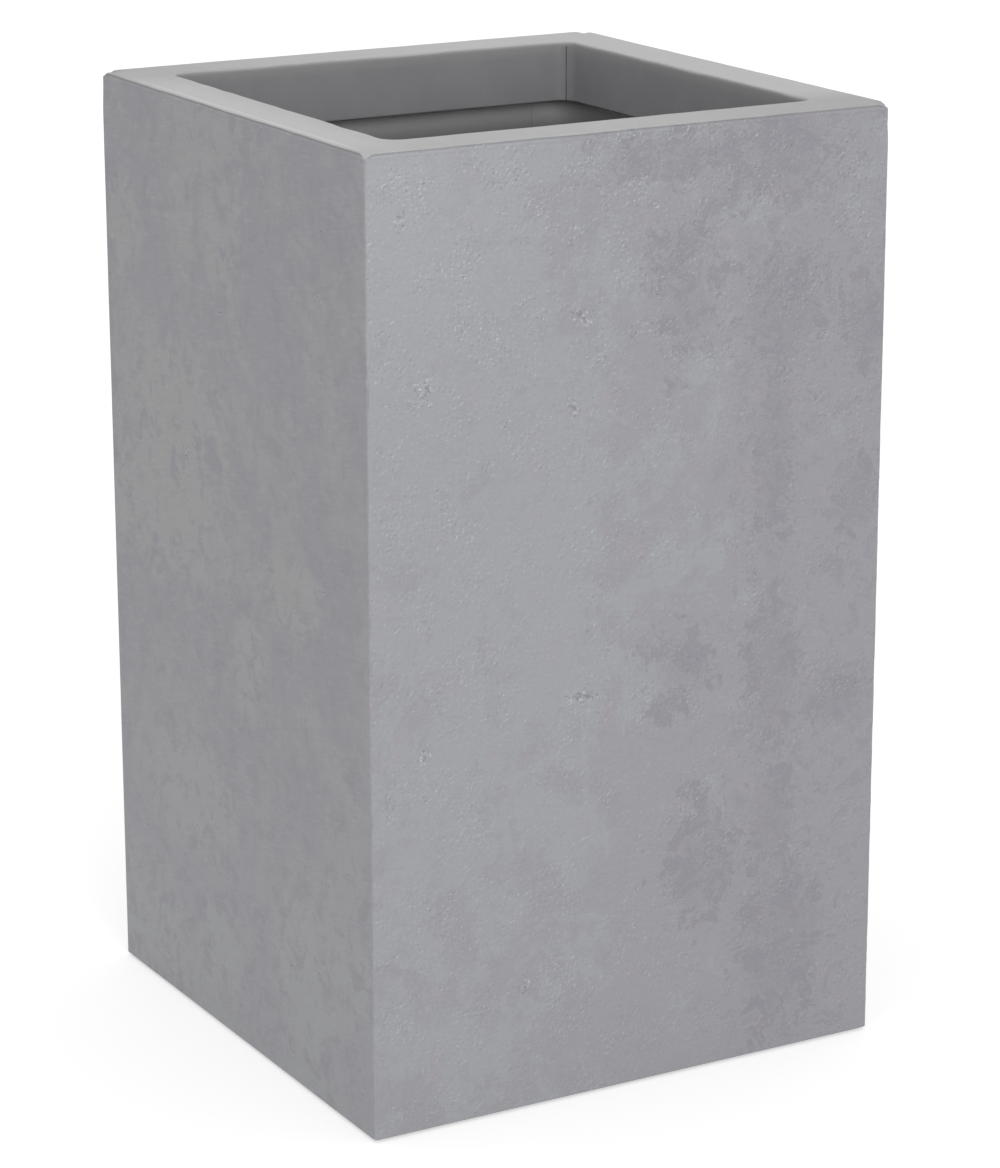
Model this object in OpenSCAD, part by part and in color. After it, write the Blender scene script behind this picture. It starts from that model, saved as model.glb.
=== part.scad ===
// Tall square planter with a concrete finish: a thin moulded shell under a flat lip whose inner edge
// turns down as a band, with a loose shelf half way up that carries a lift-out insert.
// Millimetres, +Z up. The origin is the middle of the footprint on the floor.

/* [Shell] */
// Outer width and depth of the square shell
side = 400; // [340:5:600]
// Height from the floor to the top of the lip
height = 670; // [560:5:1000]
// Thickness of the shell walls
wall = 7; // [4:0.5:11]
// Radius of the upright outer edges and of the lip's outer top edge
edge_r = 3; // [1:0.5:3.5]
// Radius of the shell's upright inner corners
inner_corner_r = 4; // [1:0.5:6]
// Gap between the floor and the shell's lower edge
floor_gap = 2; // [0.5:0.5:5]

/* [Lip] */
// Width of the lip's flat top
lip_w = 37; // [30:1:60]
// Thickness of the lip, the smooth edge that shows above the textured walls
lip_t = 4; // [4:0.5:12]
// Thickness of the adhesive bed, left as a fine recessed line between lip and wall
bed_t = 0.8; // [0.4:0.1:2]
// Radius along the lip's inner top edge
lip_inner_edge_r = 1.5; // [0.5:0.5:3]
// Radius of the opening's corners
opening_r = 12; // [5:1:20]
// Thickness of the tongue under the lip that fits inside the shell
tongue_w = 5; // [3:0.5:8]
// Depth of the tongue below the lip
tongue_h = 10; // [5:1:20]

/* [Band] */
// Depth of the turned-down band, from the top of the lip to its lower edge
band_depth = 45; // [25:1:80]
// Thickness of the band
band_t = 5; // [3:0.5:8]
// Width of the seam between two strips of the band, in each corner
band_seam = 0.6; // [0.3:0.1:1.5]

/* [Corner posts] */
// Reach of a corner post along each wall
post_leg = 44; // [36:1:56]
// Thickness of a corner post where its hollow face runs out
post_edge_t = 2.5; // [1.5:0.5:5]
// Bevel on a corner post that clears the shell's inner corner radius
post_bevel = 6; // [4:0.5:8]

/* [Base] */
// Thickness of the base plate
base_t = 12; // [8:1:20]
// Radius of the drain hole in the base plate
base_hole_r = 16; // [10:1:22]
// Radius of the rubber feet
foot_r = 20; // [12:1:30]
// Height of the rubber feet
foot_h = 8; // [6:0.5:15]
// Distance from a foot's centre to the shell's inner face
foot_inset = 50; // [36:1:80]
// Bevel around the lower edge of a foot
foot_bevel = 1.5; // [0.5:0.5:3]

/* [Base screws] */
// Radius of the base screws
screw_r = 2.5; // [1.5:0.5:3]
// Radius of the countersunk screw heads
screw_head_r = 5; // [4:0.5:6]
// Overall length of the screws
screw_len = 40; // [30:5:60]
// Distance from a screw's axis to each wall
screw_inset = 8.5; // [7:0.5:10]

/* [Shelf] */
// Thickness of the loose shelf
shelf_t = 12; // [8:1:20]
// Radius of the shelf's corners
shelf_corner_r = 12; // [5:1:30]
// Gap on each side as the shelf is lifted out through the opening
shelf_clear = 4; // [2:0.5:8]
// Radius of the drain and hand hole in the shelf
hand_hole_r = 45; // [30:1:60]
// Length of a shelf bracket along its wall
bracket_w = 60; // [40:1:100]
// Height of a shelf bracket below the shelf
bracket_h = 36; // [24:1:60]
// Thickness of a bracket at its nose and at its foot
bracket_t = 8; // [5:0.5:12]
// Overlap of a bracket under the shelf's edge
bracket_bearing = 12; // [8:1:20]
// Height of the step on a bracket that keeps the shelf in place
bracket_step_h = 6; // [3:0.5:10]
// Gap between that step and the shelf's edge
bracket_step_gap = 1; // [0.5:0.5:3]

/* [Insert] */
// Drop from the top of the lip to the rim of the insert
insert_drop = 95; // [85:1:140]
// Overall height of the insert with its feet
insert_h = 250; // [180:5:320]
// Gap on each side as the insert is lifted out through the opening
insert_clear = 5; // [3:0.5:10]
// Width of the insert's rim outside its walls
insert_rim_w = 9; // [6:0.5:14]
// Depth of the turned-down edge of the insert's rim
insert_rim_h = 10; // [6:1:16]
// Thickness of the insert's walls and rim
insert_wall = 3; // [2:0.5:5]
// Thickness of the insert's floor
insert_floor_t = 4; // [3:0.5:6]
// Radius of the insert's upright inner corners
insert_corner_r = 12; // [6:1:24]
// Radius of the insert's feet
insert_foot_r = 16; // [10:1:24]
// Height of the insert's feet
insert_foot_h = 8; // [5:0.5:12]
// Distance from a foot's centre to the insert's outer wall
insert_foot_inset = 34; // [26:1:60]
// Radius of the drain hole in the insert
insert_hole_r = 12; // [8:1:20]

/* [Insert handles] */
// Radius of the handle wire
wire_r = 2; // [1.5:0.25:3]
// Distance between the two pivot lugs of a handle
lug_span = 100; // [80:2:140]
// Thickness of a pivot lug
lug_t = 8; // [5:0.5:12]
// Radius of the rounded end of a pivot lug
lug_r = 6; // [5:0.5:8]
// Distance from the insert's inner wall to the pivot
pivot_inset = 8; // [7:0.5:12]
// Depth of the pivot below the insert's rim
pivot_drop = 14; // [10:1:24]
// Gap between a lug and the handle's side wire
lug_gap = 1.5; // [0.5:0.5:3]
// Distance from the pivot to the handle's crossbar
handle_reach = 70; // [50:2:90]
// Bend radius of the handle wire
handle_bend_r = 8; // [5:1:12]
// Radius of the grip sleeve
grip_r = 5; // [3.5:0.5:5.5]
// Length of the grip sleeve
grip_len = 60; // [40:2:70]

/* [Plugs] */
// Thickness of a plug's head
plug_head_t = 4; // [3:0.5:8]
// Overlap of a plug's head around its hole
plug_head_lap = 5; // [3:0.5:10]
// Width of the pull tab on a plug
tab_w = 16; // [12:1:20]
// Height of the pull tab above the plug's head
tab_h = 14; // [12:1:20]
// Thickness of the pull tab
tab_t = 4; // [3:0.5:6]
// Radius of the hole in the pull tab
tab_hole_r = 3.5; // [2:0.5:4]
// Bevel around the lower end of a plug
plug_bevel = 1.5; // [0.5:0.5:3]

/* [Fits] */
// Radial gap of a pin or plug in its hole
running_gap = 0.05; // [0.02:0.01:0.1]
// Radial gap of a screw in the base plate
screw_gap = 0.3; // [0.1:0.1:0.5]
// Gap under a loose piece where it rests
seat_gap = 0.3; // [0.2:0.1:0.5]

/* [Hidden] */
$fn = 72;
// How far a cutting shape runs past the face that it cuts
cut = 1;
// Half widths are measured from the middle planes, heights from the floor
shell_in = side / 2 - wall;
opening = side / 2 - lip_w;
lip_z = height - lip_t;
shell_top = lip_z - bed_t;
tongue_z = lip_z - tongue_h;
band_z = height - band_depth;
base_z = foot_h;
base_top = base_z + base_t;
insert_rim = opening - insert_clear;
insert_out = insert_rim - insert_rim_w;
insert_in = insert_out - insert_wall;
insert_top = height - insert_drop;
insert_z = insert_top - insert_h;
insert_floor_z = insert_z + insert_foot_h;
insert_floor_top = insert_floor_z + insert_floor_t;
shelf_half = opening - shelf_clear;
shelf_top = insert_z - seat_gap;
shelf_z = shelf_top - shelf_t;
bracket_z = shelf_z - seat_gap;
post_hollow_r = post_leg - post_edge_t;
screw_at = shell_in - screw_inset;
screw_head_h = screw_head_r - screw_r;
pivot_x = insert_in - pivot_inset;
pivot_z = insert_top - pivot_drop;
side_wire_y = lug_span / 2 - lug_gap - wire_r;
bar_half = side_wire_y - handle_bend_r;

// Square of the given half width with rounded corners, centred
module rounded_square(half, r) {
    square([2 * half, 2 * (half - r)], center = true);
    square([2 * (half - r), 2 * half], center = true);
    for (sx = [-1, 1], sy = [-1, 1])
        translate([sx * (half - r), sy * (half - r)]) circle(r);
}

// Carries a profile around a rounded square; the profile's x starts at the corner radius's centre line
module swept_square(half, r) {
    straight = half - r;
    for (turn = [0:3]) rotate(90 * turn) translate([straight, straight, 0]) {
        rotate_extrude(angle = 90) children();
        rotate([90, 0, 0]) linear_extrude(2 * straight) children();
    }
}

// Places a child at all four corners, the given distance from both middle planes
module at_corners(distance) {
    for (sx = [-1, 1], sy = [-1, 1]) translate([sx * distance, sy * distance, 0]) children();
}

// Section through the lip's outer edge, with its top corner rounded
module lip_edge_profile() {
    square([edge_r, lip_t - edge_r]);
    intersection() {
        translate([0, lip_t - edge_r]) circle(edge_r);
        square([edge_r, lip_t]);
    }
}

// Section of the cut that rounds the lip's inner top edge
module lip_flare_profile() {
    difference() {
        translate([opening_r, lip_t - lip_inner_edge_r]) square([lip_inner_edge_r, lip_inner_edge_r + cut]);
        translate([opening_r + lip_inner_edge_r, lip_t - lip_inner_edge_r]) circle(lip_inner_edge_r);
    }
}

// Flat lip with a rounded outer edge, a soft inner edge and a tongue that fits inside the shell
module lip() {
    color([0.7, 0.7, 0.69]) {
        translate([0, 0, lip_z]) difference() {
            union() {
                swept_square(side / 2, edge_r) lip_edge_profile();
                linear_extrude(lip_t) square(side - 2 * edge_r, center = true);
            }
            translate([0, 0, -cut]) linear_extrude(lip_t + 2 * cut) rounded_square(opening, opening_r);
            swept_square(opening, opening_r) lip_flare_profile();
        }
        translate([0, 0, tongue_z]) linear_extrude(tongue_h) difference() {
            rounded_square(shell_in, inner_corner_r);
            square(2 * (shell_in - tongue_w), center = true);
        }
    }
}

// Four walls in one moulding, open at the top and at the foot
module outer_shell() {
    color([0.63, 0.635, 0.65]) translate([0, 0, floor_gap]) linear_extrude(shell_top - floor_gap) difference() {
        rounded_square(side / 2, edge_r);
        rounded_square(shell_in, inner_corner_r);
    }
}

// Quarter of the plane around +X, short of its neighbours by half a seam
module quarter_wedge() {
    apex = band_seam / sqrt(2);
    polygon([[apex, 0], [side, side - apex], [side, apex - side]]);
}

// One strip of the turned-down band, on the +X side, with mitred ends in the rounded corners
module band_strip() {
    color([0.48, 0.48, 0.485]) translate([0, 0, band_z]) linear_extrude(lip_z - band_z) intersection() {
        difference() {
            rounded_square(opening + band_t, opening_r + band_t);
            rounded_square(opening, opening_r);
        }
        quarter_wedge();
    }
}

module band_right() {
    band_strip();
}

module band_back() {
    rotate(90) band_strip();
}

module band_left() {
    rotate(180) band_strip();
}

module band_front() {
    rotate(270) band_strip();
}

// Upright post in the +X +Y corner, from the base plate to the lip's tongue, with a hollow inner face
module corner_post() {
    inner = shell_in - post_leg;
    color([0.74, 0.735, 0.72]) difference() {
        translate([0, 0, base_top]) linear_extrude(tongue_z - base_top) difference() {
            polygon([[inner, inner], [shell_in, inner], [shell_in, shell_in - post_bevel],
                [shell_in - post_bevel, shell_in], [inner, shell_in]]);
            translate([inner, inner]) circle(post_hollow_r);
        }
        translate([screw_at, screw_at, 0]) cylinder(r = screw_r + running_gap, h = base_z + screw_len + cut);
    }
}

module corner_post_back_right() {
    corner_post();
}

module corner_post_back_left() {
    rotate(90) corner_post();
}

module corner_post_front_left() {
    rotate(180) corner_post();
}

module corner_post_front_right() {
    rotate(270) corner_post();
}

// Plate bonded inside the foot of the shell, drained in the middle and drilled for the four screws
module base_plate() {
    color([0.74, 0.735, 0.72]) difference() {
        translate([0, 0, base_z]) linear_extrude(base_t) rounded_square(shell_in, inner_corner_r);
        cylinder(r = base_hole_r, h = base_top + cut);
        at_corners(screw_at) {
            cylinder(r = screw_r + screw_gap, h = base_top + cut);
            translate([0, 0, base_z]) cylinder(r1 = screw_head_r + screw_gap, r2 = screw_r + screw_gap, h = screw_head_h);
        }
    }
}

// Four countersunk screws that hold the base plate to the corner posts
module base_screws() {
    color([0.75, 0.75, 0.75]) at_corners(screw_at) {
        translate([0, 0, base_z]) cylinder(r1 = screw_head_r, r2 = screw_r, h = screw_head_h);
        translate([0, 0, base_z]) cylinder(r = screw_r, h = screw_len);
    }
}

// Rubber foot under the base plate
module foot(sx, sy) {
    color([0.16, 0.16, 0.16])
        translate([sx * (shell_in - foot_inset), sy * (shell_in - foot_inset), 0]) {
            cylinder(r1 = foot_r - foot_bevel, r2 = foot_r, h = foot_bevel);
            translate([0, 0, foot_bevel]) cylinder(r = foot_r, h = foot_h - foot_bevel);
        }
}

module foot_front_left() {
    foot(-1, -1);
}

module foot_front_right() {
    foot(1, -1);
}

module foot_back_right() {
    foot(1, 1);
}

module foot_back_left() {
    foot(-1, 1);
}

// Stepped bracket on the +X wall that carries the shelf and keeps it from sliding
module shelf_bracket() {
    nose = shelf_half - bracket_bearing;
    step = shelf_half + bracket_step_gap;
    color([0.74, 0.735, 0.72]) translate([0, bracket_w / 2, bracket_z]) rotate([90, 0, 0])
        linear_extrude(bracket_w) polygon([
            [shell_in, bracket_step_h], [step, bracket_step_h], [step, 0], [nose, 0], [nose, -bracket_t],
            [shell_in - bracket_t, -bracket_h], [shell_in, -bracket_h]]);
}

module shelf_bracket_right() {
    shelf_bracket();
}

module shelf_bracket_back() {
    rotate(90) shelf_bracket();
}

module shelf_bracket_left() {
    rotate(180) shelf_bracket();
}

module shelf_bracket_front() {
    rotate(270) shelf_bracket();
}

// Loose shelf that rests on the four brackets
module shelf() {
    color([0.31, 0.31, 0.32]) translate([0, 0, shelf_z]) linear_extrude(shelf_t) difference() {
        rounded_square(shelf_half, shelf_corner_r);
        circle(hand_hole_r);
    }
}

// Rubber plug with a pull tab; its head's underside is at z = 0 and its stem hangs below
module plug(hole_r, stem_h) {
    stem_r = hole_r - running_gap;
    color([0.16, 0.16, 0.16]) {
        translate([0, 0, plug_bevel - stem_h]) cylinder(r = stem_r, h = stem_h - plug_bevel);
        translate([0, 0, -stem_h]) cylinder(r1 = stem_r - plug_bevel, r2 = stem_r, h = plug_bevel);
        cylinder(r = hole_r + plug_head_lap, h = plug_head_t);
        translate([0, tab_t / 2, plug_head_t]) rotate([90, 0, 0]) linear_extrude(tab_t) difference() {
            union() {
                translate([-tab_w / 2, 0]) square([tab_w, tab_h - tab_w / 2]);
                translate([0, tab_h - tab_w / 2]) circle(tab_w / 2);
            }
            translate([0, tab_h - tab_w / 2]) circle(tab_hole_r);
        }
    }
}

module base_plug() {
    translate([0, 0, base_top + seat_gap]) plug(base_hole_r, base_t);
}

module insert_plug() {
    translate([0, 0, insert_floor_top + seat_gap]) plug(insert_hole_r, insert_floor_t + plug_bevel);
}

// Pair of lugs inside the insert's +X wall that hold the ends of a handle
module pivot_lugs() {
    for (sy = [-1, 1]) translate([0, sy * (lug_span + lug_t) / 2, pivot_z]) rotate([90, 0, 0])
        linear_extrude(lug_t, center = true) difference() {
            union() {
                translate([pivot_x, -lug_r]) square([pivot_inset + insert_wall / 2, 2 * lug_r]);
                translate([pivot_x, 0]) circle(lug_r);
            }
            translate([pivot_x, 0]) circle(wire_r + running_gap);
        }
}

// Square tub with a turned-down rim, a drained floor, four feet and the lugs of its two handles
module insert() {
    color([0.27, 0.27, 0.28]) {
        translate([0, 0, insert_floor_z]) linear_extrude(insert_top - insert_floor_z) difference() {
            rounded_square(insert_out, insert_corner_r + insert_wall);
            rounded_square(insert_in, insert_corner_r);
        }
        translate([0, 0, insert_floor_z]) linear_extrude(insert_floor_t) difference() {
            rounded_square(insert_in + insert_wall / 2, insert_corner_r + insert_wall / 2);
            circle(insert_hole_r);
        }
        translate([0, 0, insert_top - insert_wall]) linear_extrude(insert_wall) difference() {
            rounded_square(insert_rim, insert_corner_r + insert_wall + insert_rim_w);
            rounded_square(insert_in, insert_corner_r);
        }
        translate([0, 0, insert_top - insert_rim_h]) linear_extrude(insert_rim_h) difference() {
            rounded_square(insert_rim, insert_corner_r + insert_wall + insert_rim_w);
            rounded_square(insert_rim - insert_wall, insert_corner_r + insert_rim_w);
        }
        translate([0, 0, insert_z]) at_corners(insert_out - insert_foot_inset)
            cylinder(r = insert_foot_r, h = insert_foot_h + insert_floor_t / 2);
        pivot_lugs();
        rotate(180) pivot_lugs();
    }
}

// Bent wire handle that hangs from its pivot at the origin, with its pins along Y
module handle() {
    color([0.7, 0.7, 0.72]) for (sy = [-1, 1]) scale([1, sy, 1]) {
        translate([0, side_wire_y, 0]) rotate([-90, 0, 0]) cylinder(r = wire_r, h = lug_gap + wire_r + lug_t);
        translate([0, side_wire_y, 0]) sphere(wire_r);
        translate([0, side_wire_y, handle_bend_r - handle_reach]) cylinder(r = wire_r, h = handle_reach - handle_bend_r);
        translate([0, bar_half, handle_bend_r - handle_reach]) rotate([90, 90, 90])
            rotate_extrude(angle = 90) translate([handle_bend_r, 0]) circle(wire_r);
        translate([0, 0, -handle_reach]) rotate([-90, 0, 0]) cylinder(r = wire_r, h = bar_half);
    }
}

// Sleeve on the handle's crossbar
module handle_grip() {
    color([0.18, 0.18, 0.185]) translate([0, grip_len / 2, -handle_reach]) rotate([90, 0, 0])
        linear_extrude(grip_len) difference() {
            circle(grip_r);
            circle(wire_r + running_gap);
        }
}

module handle_left() {
    translate([-pivot_x, 0, pivot_z]) handle();
}

module handle_grip_left() {
    translate([-pivot_x, 0, pivot_z]) handle_grip();
}

module handle_right() {
    translate([pivot_x, 0, pivot_z]) handle();
}

module handle_grip_right() {
    translate([pivot_x, 0, pivot_z]) handle_grip();
}

outer_shell();
lip();
band_front();
band_right();
band_back();
band_left();
corner_post_front_left();
corner_post_front_right();
corner_post_back_right();
corner_post_back_left();
base_plate();
base_screws();
foot_front_left();
foot_front_right();
foot_back_right();
foot_back_left();
shelf_bracket_front();
shelf_bracket_right();
shelf_bracket_back();
shelf_bracket_left();
shelf();
base_plug();
insert();
insert_plug();
handle_left();
handle_grip_left();
handle_right();
handle_grip_right();
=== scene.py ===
"""Looks of a tall square planter with a concrete finish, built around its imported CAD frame.

Every mesh is made in millimetres, from the same named sizes as the CAD source, and turned into metres
when its piece is made. +Z is up. The brightly lit front wall faces -Y and the darker left wall faces -X.
"""

import cmath
import functools
import logging
import math
import random
from collections.abc import Callable, Sequence
from dataclasses import dataclass
from enum import Enum

import bmesh
import bpy
from bpy.types import Material, Node, NodeOutputs, NodeSocket, NodeTree, Object
from mathutils import Matrix, Vector, noise


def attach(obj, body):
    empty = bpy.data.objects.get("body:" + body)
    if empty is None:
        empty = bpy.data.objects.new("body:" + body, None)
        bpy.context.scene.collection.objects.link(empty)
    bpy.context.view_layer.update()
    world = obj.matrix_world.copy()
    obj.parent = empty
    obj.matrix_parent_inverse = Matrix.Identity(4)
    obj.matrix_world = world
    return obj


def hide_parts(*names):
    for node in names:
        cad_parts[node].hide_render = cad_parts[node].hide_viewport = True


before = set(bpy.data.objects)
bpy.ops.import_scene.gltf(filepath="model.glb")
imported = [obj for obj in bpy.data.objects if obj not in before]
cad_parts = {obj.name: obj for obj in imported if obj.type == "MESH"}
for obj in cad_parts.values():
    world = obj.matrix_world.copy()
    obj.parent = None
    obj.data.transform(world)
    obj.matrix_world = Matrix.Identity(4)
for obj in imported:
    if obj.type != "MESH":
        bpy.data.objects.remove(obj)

LOG = logging.getLogger("planter")
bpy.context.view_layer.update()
METRES = 0.001
SHARP_DEGREES = 35.0
ROUNDING_STEPS = 3
IN_PLACE = Matrix.Identity(4)

Colour = tuple[float, float, float, float]
Flat = tuple[float, float]
Point = tuple[float, float, float]
OutlinePoint = tuple[float, float, float, float]
Cluster = tuple[float, float, float, int]
Feed = NodeSocket | float | tuple
Loop = list[bmesh.types.BMVert]


class Body(Enum):
    """Bodies of the frame that the pieces ride on."""

    PLANTER = "planter"
    SHELF = "shelf"
    BASE_PLUG = "base_plug"
    INSERT = "insert"
    INSERT_PLUG = "insert_plug"
    HANDLE_LEFT = "handle_left"
    HANDLE_RIGHT = "handle_right"


class Side(Enum):
    """Walls of the planter, with the quarter turns that carry +X onto them."""

    RIGHT = 0
    BACK = 1
    LEFT = 2
    FRONT = 3

    @property
    def label(self) -> str:
        """The wall's name in the names of its pieces."""
        return self.name.lower()


@dataclass(frozen=True)
class PlanterSizes:
    """Main sizes in millimetres, as in the CAD source."""

    side: float = 400.0
    height: float = 670.0
    wall: float = 7.0
    edge_r: float = 3.0
    inner_corner_r: float = 4.0
    floor_gap: float = 2.0
    lip_w: float = 37.0
    lip_t: float = 4.0
    bed_t: float = 0.8
    opening_r: float = 12.0
    tongue_w: float = 5.0
    tongue_h: float = 10.0
    band_depth: float = 45.0
    band_t: float = 5.0
    base_t: float = 12.0
    base_hole_r: float = 16.0
    foot_h: float = 8.0
    shelf_t: float = 12.0
    seat_gap: float = 0.3
    insert_drop: float = 95.0
    insert_h: float = 250.0
    insert_foot_h: float = 8.0
    insert_floor_t: float = 4.0
    insert_hole_r: float = 12.0
    lug_span: float = 100.0
    lug_t: float = 8.0

    @property
    def half(self) -> float:
        """Half the outer width."""
        return self.side / 2

    @property
    def shell_in(self) -> float:
        """Half the width inside the shell."""
        return self.half - self.wall

    @property
    def opening(self) -> float:
        """Half the width of the opening."""
        return self.half - self.lip_w

    @property
    def lip_z(self) -> float:
        """Height of the lip's underside."""
        return self.height - self.lip_t

    @property
    def shell_top(self) -> float:
        """Height of the shell's upper edge."""
        return self.lip_z - self.bed_t

    @property
    def tongue_z(self) -> float:
        """Height of the tongue's lower edge, and of the corner posts' tops."""
        return self.lip_z - self.tongue_h

    @property
    def band_z(self) -> float:
        """Height of the band's lower edge."""
        return self.height - self.band_depth

    @property
    def base_top(self) -> float:
        """Height of the base plate's top."""
        return self.foot_h + self.base_t

    @property
    def insert_top(self) -> float:
        """Height of the insert's rim."""
        return self.height - self.insert_drop

    @property
    def insert_z(self) -> float:
        """Height that the insert's feet stand at."""
        return self.insert_top - self.insert_h

    @property
    def insert_floor_z(self) -> float:
        """Height of the underside of the insert's floor."""
        return self.insert_z + self.insert_foot_h

    @property
    def insert_floor_top(self) -> float:
        """Height of the top of the insert's floor."""
        return self.insert_floor_z + self.insert_floor_t

    @property
    def shelf_top(self) -> float:
        """Height of the shelf's top."""
        return self.insert_z - self.seat_gap

    @property
    def shelf_z(self) -> float:
        """Height of the shelf's underside."""
        return self.shelf_top - self.shelf_t


SIZES = PlanterSizes()


def srgb(red: float, green: float, blue: float) -> Colour:
    """A colour of 0 to 255 as linear values, with full opacity."""
    parts = [channel / 255 for channel in (red, green, blue)]
    return (*(part / 12.92 if part <= 0.04045 else ((part + 0.055) / 1.055) ** 2.4 for part in parts), 1.0)


def grey(value: float) -> Colour:
    """A plain grey of 0 to 255."""
    return srgb(value, value, value)


def fade(value: float, low: float, high: float) -> float:
    """Rises smoothly from 0 at low to 1 at high."""
    share = min(max((value - low) / (high - low), 0.0), 1.0)
    return share * share * (3 - 2 * share)


def ripple(x: float, y: float, z: float, reach: float, seed: float = 0.0) -> float:
    """Smooth unevenness from 0 to 1 at a point; it changes over the reach, and the seed picks a pattern."""
    return 0.5 + 0.5 * noise.noise(Vector((x / reach + seed, y / reach - seed, z / reach)))


def quarter_turn(x: float, y: float, turn: int) -> Flat:
    """Turns a point in plan by quarter turns, with no rounding."""
    return ((x, y), (-y, x), (-x, -y), (y, -x))[turn % 4]


def turned(degrees: float, axis: str) -> Matrix:
    """A turn about an axis."""
    return Matrix.Rotation(math.radians(degrees), 4, axis)


def moved(x: float, y: float, z: float) -> Matrix:
    """A move in millimetres."""
    return Matrix.Translation((x, y, z))


def arc(centre: Flat, radius: float, start: float, end: float, steps: int) -> list[Flat]:
    """Points along an arc from its first angle in degrees to its last, both included."""
    angles = [math.radians(start + (end - start) * step / steps) for step in range(steps + 1)]
    return [(centre[0] + radius * math.cos(angle), centre[1] + radius * math.sin(angle)) for angle in angles]


def circle(count: int) -> list[float]:
    """Angles of a number of points around a full turn."""
    return [2 * math.pi * step / count for step in range(count)]


@functools.lru_cache(maxsize=256)
def rounded_square(half: float, radius: float, side_cells: int,
                   corner_cells: int) -> tuple[OutlinePoint, ...]:
    """Outline in plan, counter-clockwise from the front end of the +X side.

    Args:
        half: Half the width of the square.
        radius: Radius of its corners.
        side_cells: Number of cells along each side.
        corner_cells: Number of cells around each corner.

    Returns:
        Points as x, y and the outward direction there.
    """
    straight = half - radius
    quarter = [(half, straight * (2 * step / side_cells - 1), 1.0, 0.0) for step in range(side_cells)]
    for step in range(corner_cells):
        angle = math.pi / 2 * step / corner_cells
        out_x, out_y = math.cos(angle), math.sin(angle)
        quarter.append((straight + radius * out_x, straight + radius * out_y, out_x, out_y))
    return tuple((*quarter_turn(x, y, turn), *quarter_turn(out_x, out_y, turn))
                 for turn in range(4) for x, y, out_x, out_y in quarter)


class PieceMesh:
    """Gathers one piece's vertices and faces, in millimetres. Methods that add a form return the mesh."""

    def __init__(self) -> None:
        """Starts an empty mesh."""
        self.bm = bmesh.new()

    def loop(self, points: Sequence[Vector]) -> Loop:
        """Adds a closed ring of vertices and returns it."""
        return [self.bm.verts.new(point) for point in points]

    def bridge(self, low: Loop, high: Loop) -> None:
        """Joins two rings with faces; a ring of one vertex makes a fan.

        Args:
            low: The ring that comes first.
            high: The ring that comes next, with as many vertices, or one.
        """
        count = max(len(low), len(high))
        for index in range(count):
            after = (index + 1) % count
            corners = (low[index % len(low)], low[after % len(low)],
                       high[after % len(high)], high[index % len(high)])
            unique = list(dict.fromkeys(corners))
            if len(unique) > 2:
                self.bm.faces.new(unique)

    def loft(self, rings: Sequence[Sequence[Vector]], joined: bool = False) -> "PieceMesh":
        """Joins rings in order.

        Args:
            rings: Rings of points.
            joined: Whether the last ring is joined to the first. Else a face closes each end.

        Returns:
            The mesh.
        """
        loops = [self.loop(ring) for ring in rings]
        for low, high in zip(loops, loops[1:]):
            self.bridge(low, high)
        if joined:
            self.bridge(loops[-1], loops[0])
        else:
            self.bm.faces.new(list(reversed(loops[0])))
            self.bm.faces.new(loops[-1])
        return self

    def lathe(self, profile: Sequence[Flat], segments: int = 64, place: Matrix = IN_PLACE) -> "PieceMesh":
        """Turns a profile about Z; radius 0 makes a point.

        Args:
            profile: Points as radius and height. A closed profile repeats its first point at the end.
            segments: Number of segments around.
            place: Carries the turned form to its place.

        Returns:
            The mesh.
        """
        closed = profile[0] == profile[-1]
        loops = []
        for radius, height in profile[:-1] if closed else profile:
            angles = circle(segments if radius > 0 else 1)
            ring = [Vector((radius * math.cos(angle), radius * math.sin(angle), height)) for angle in angles]
            loops.append(self.loop([place @ point for point in ring]))
        for low, high in zip(loops, [*loops[1:], loops[0]] if closed else loops[1:]):
            self.bridge(low, high)
        return self

    def drill(self, radius: float, low: float, high: float, segments: int,
              place: Matrix = IN_PLACE) -> "PieceMesh":
        """Adds a cylinder from low to high along Z, with a point in the middle of each end."""
        return self.lathe([(0, low), (radius, low), (radius, high), (0, high)], segments, place)

    def prism(self, outline: Sequence[Flat], low: float, high: float,
              place: Matrix = IN_PLACE) -> "PieceMesh":
        """Extrudes an outline, given counter-clockwise, along Z from low to high."""
        return self.loft([[place @ Vector((x, y, z)) for x, y in outline] for z in (low, high)])

    def wire(self, path: Sequence[Vector], radius: float, segments: int = 16,
             end_share: float = 0.8) -> "PieceMesh":
        """Carries a circle along a path in a plane of constant X, with narrower ends.

        Args:
            path: Points of the path.
            radius: Radius of the wire.
            segments: Number of segments around.
            end_share: Share of the radius at both ends.

        Returns:
            The mesh.
        """
        across = Vector((1, 0, 0))
        rings = []
        for behind, point, ahead in zip([path[0], *path], path, [*path[1:], path[-1]]):
            out = (ahead - behind).normalized().cross(across)
            reach = radius * (end_share if point in (behind, ahead) else 1.0)
            around = [out * math.cos(angle) + across * math.sin(angle) for angle in circle(segments)]
            rings.append([point + direction * reach for direction in around])
        return self.loft(rings)


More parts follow.
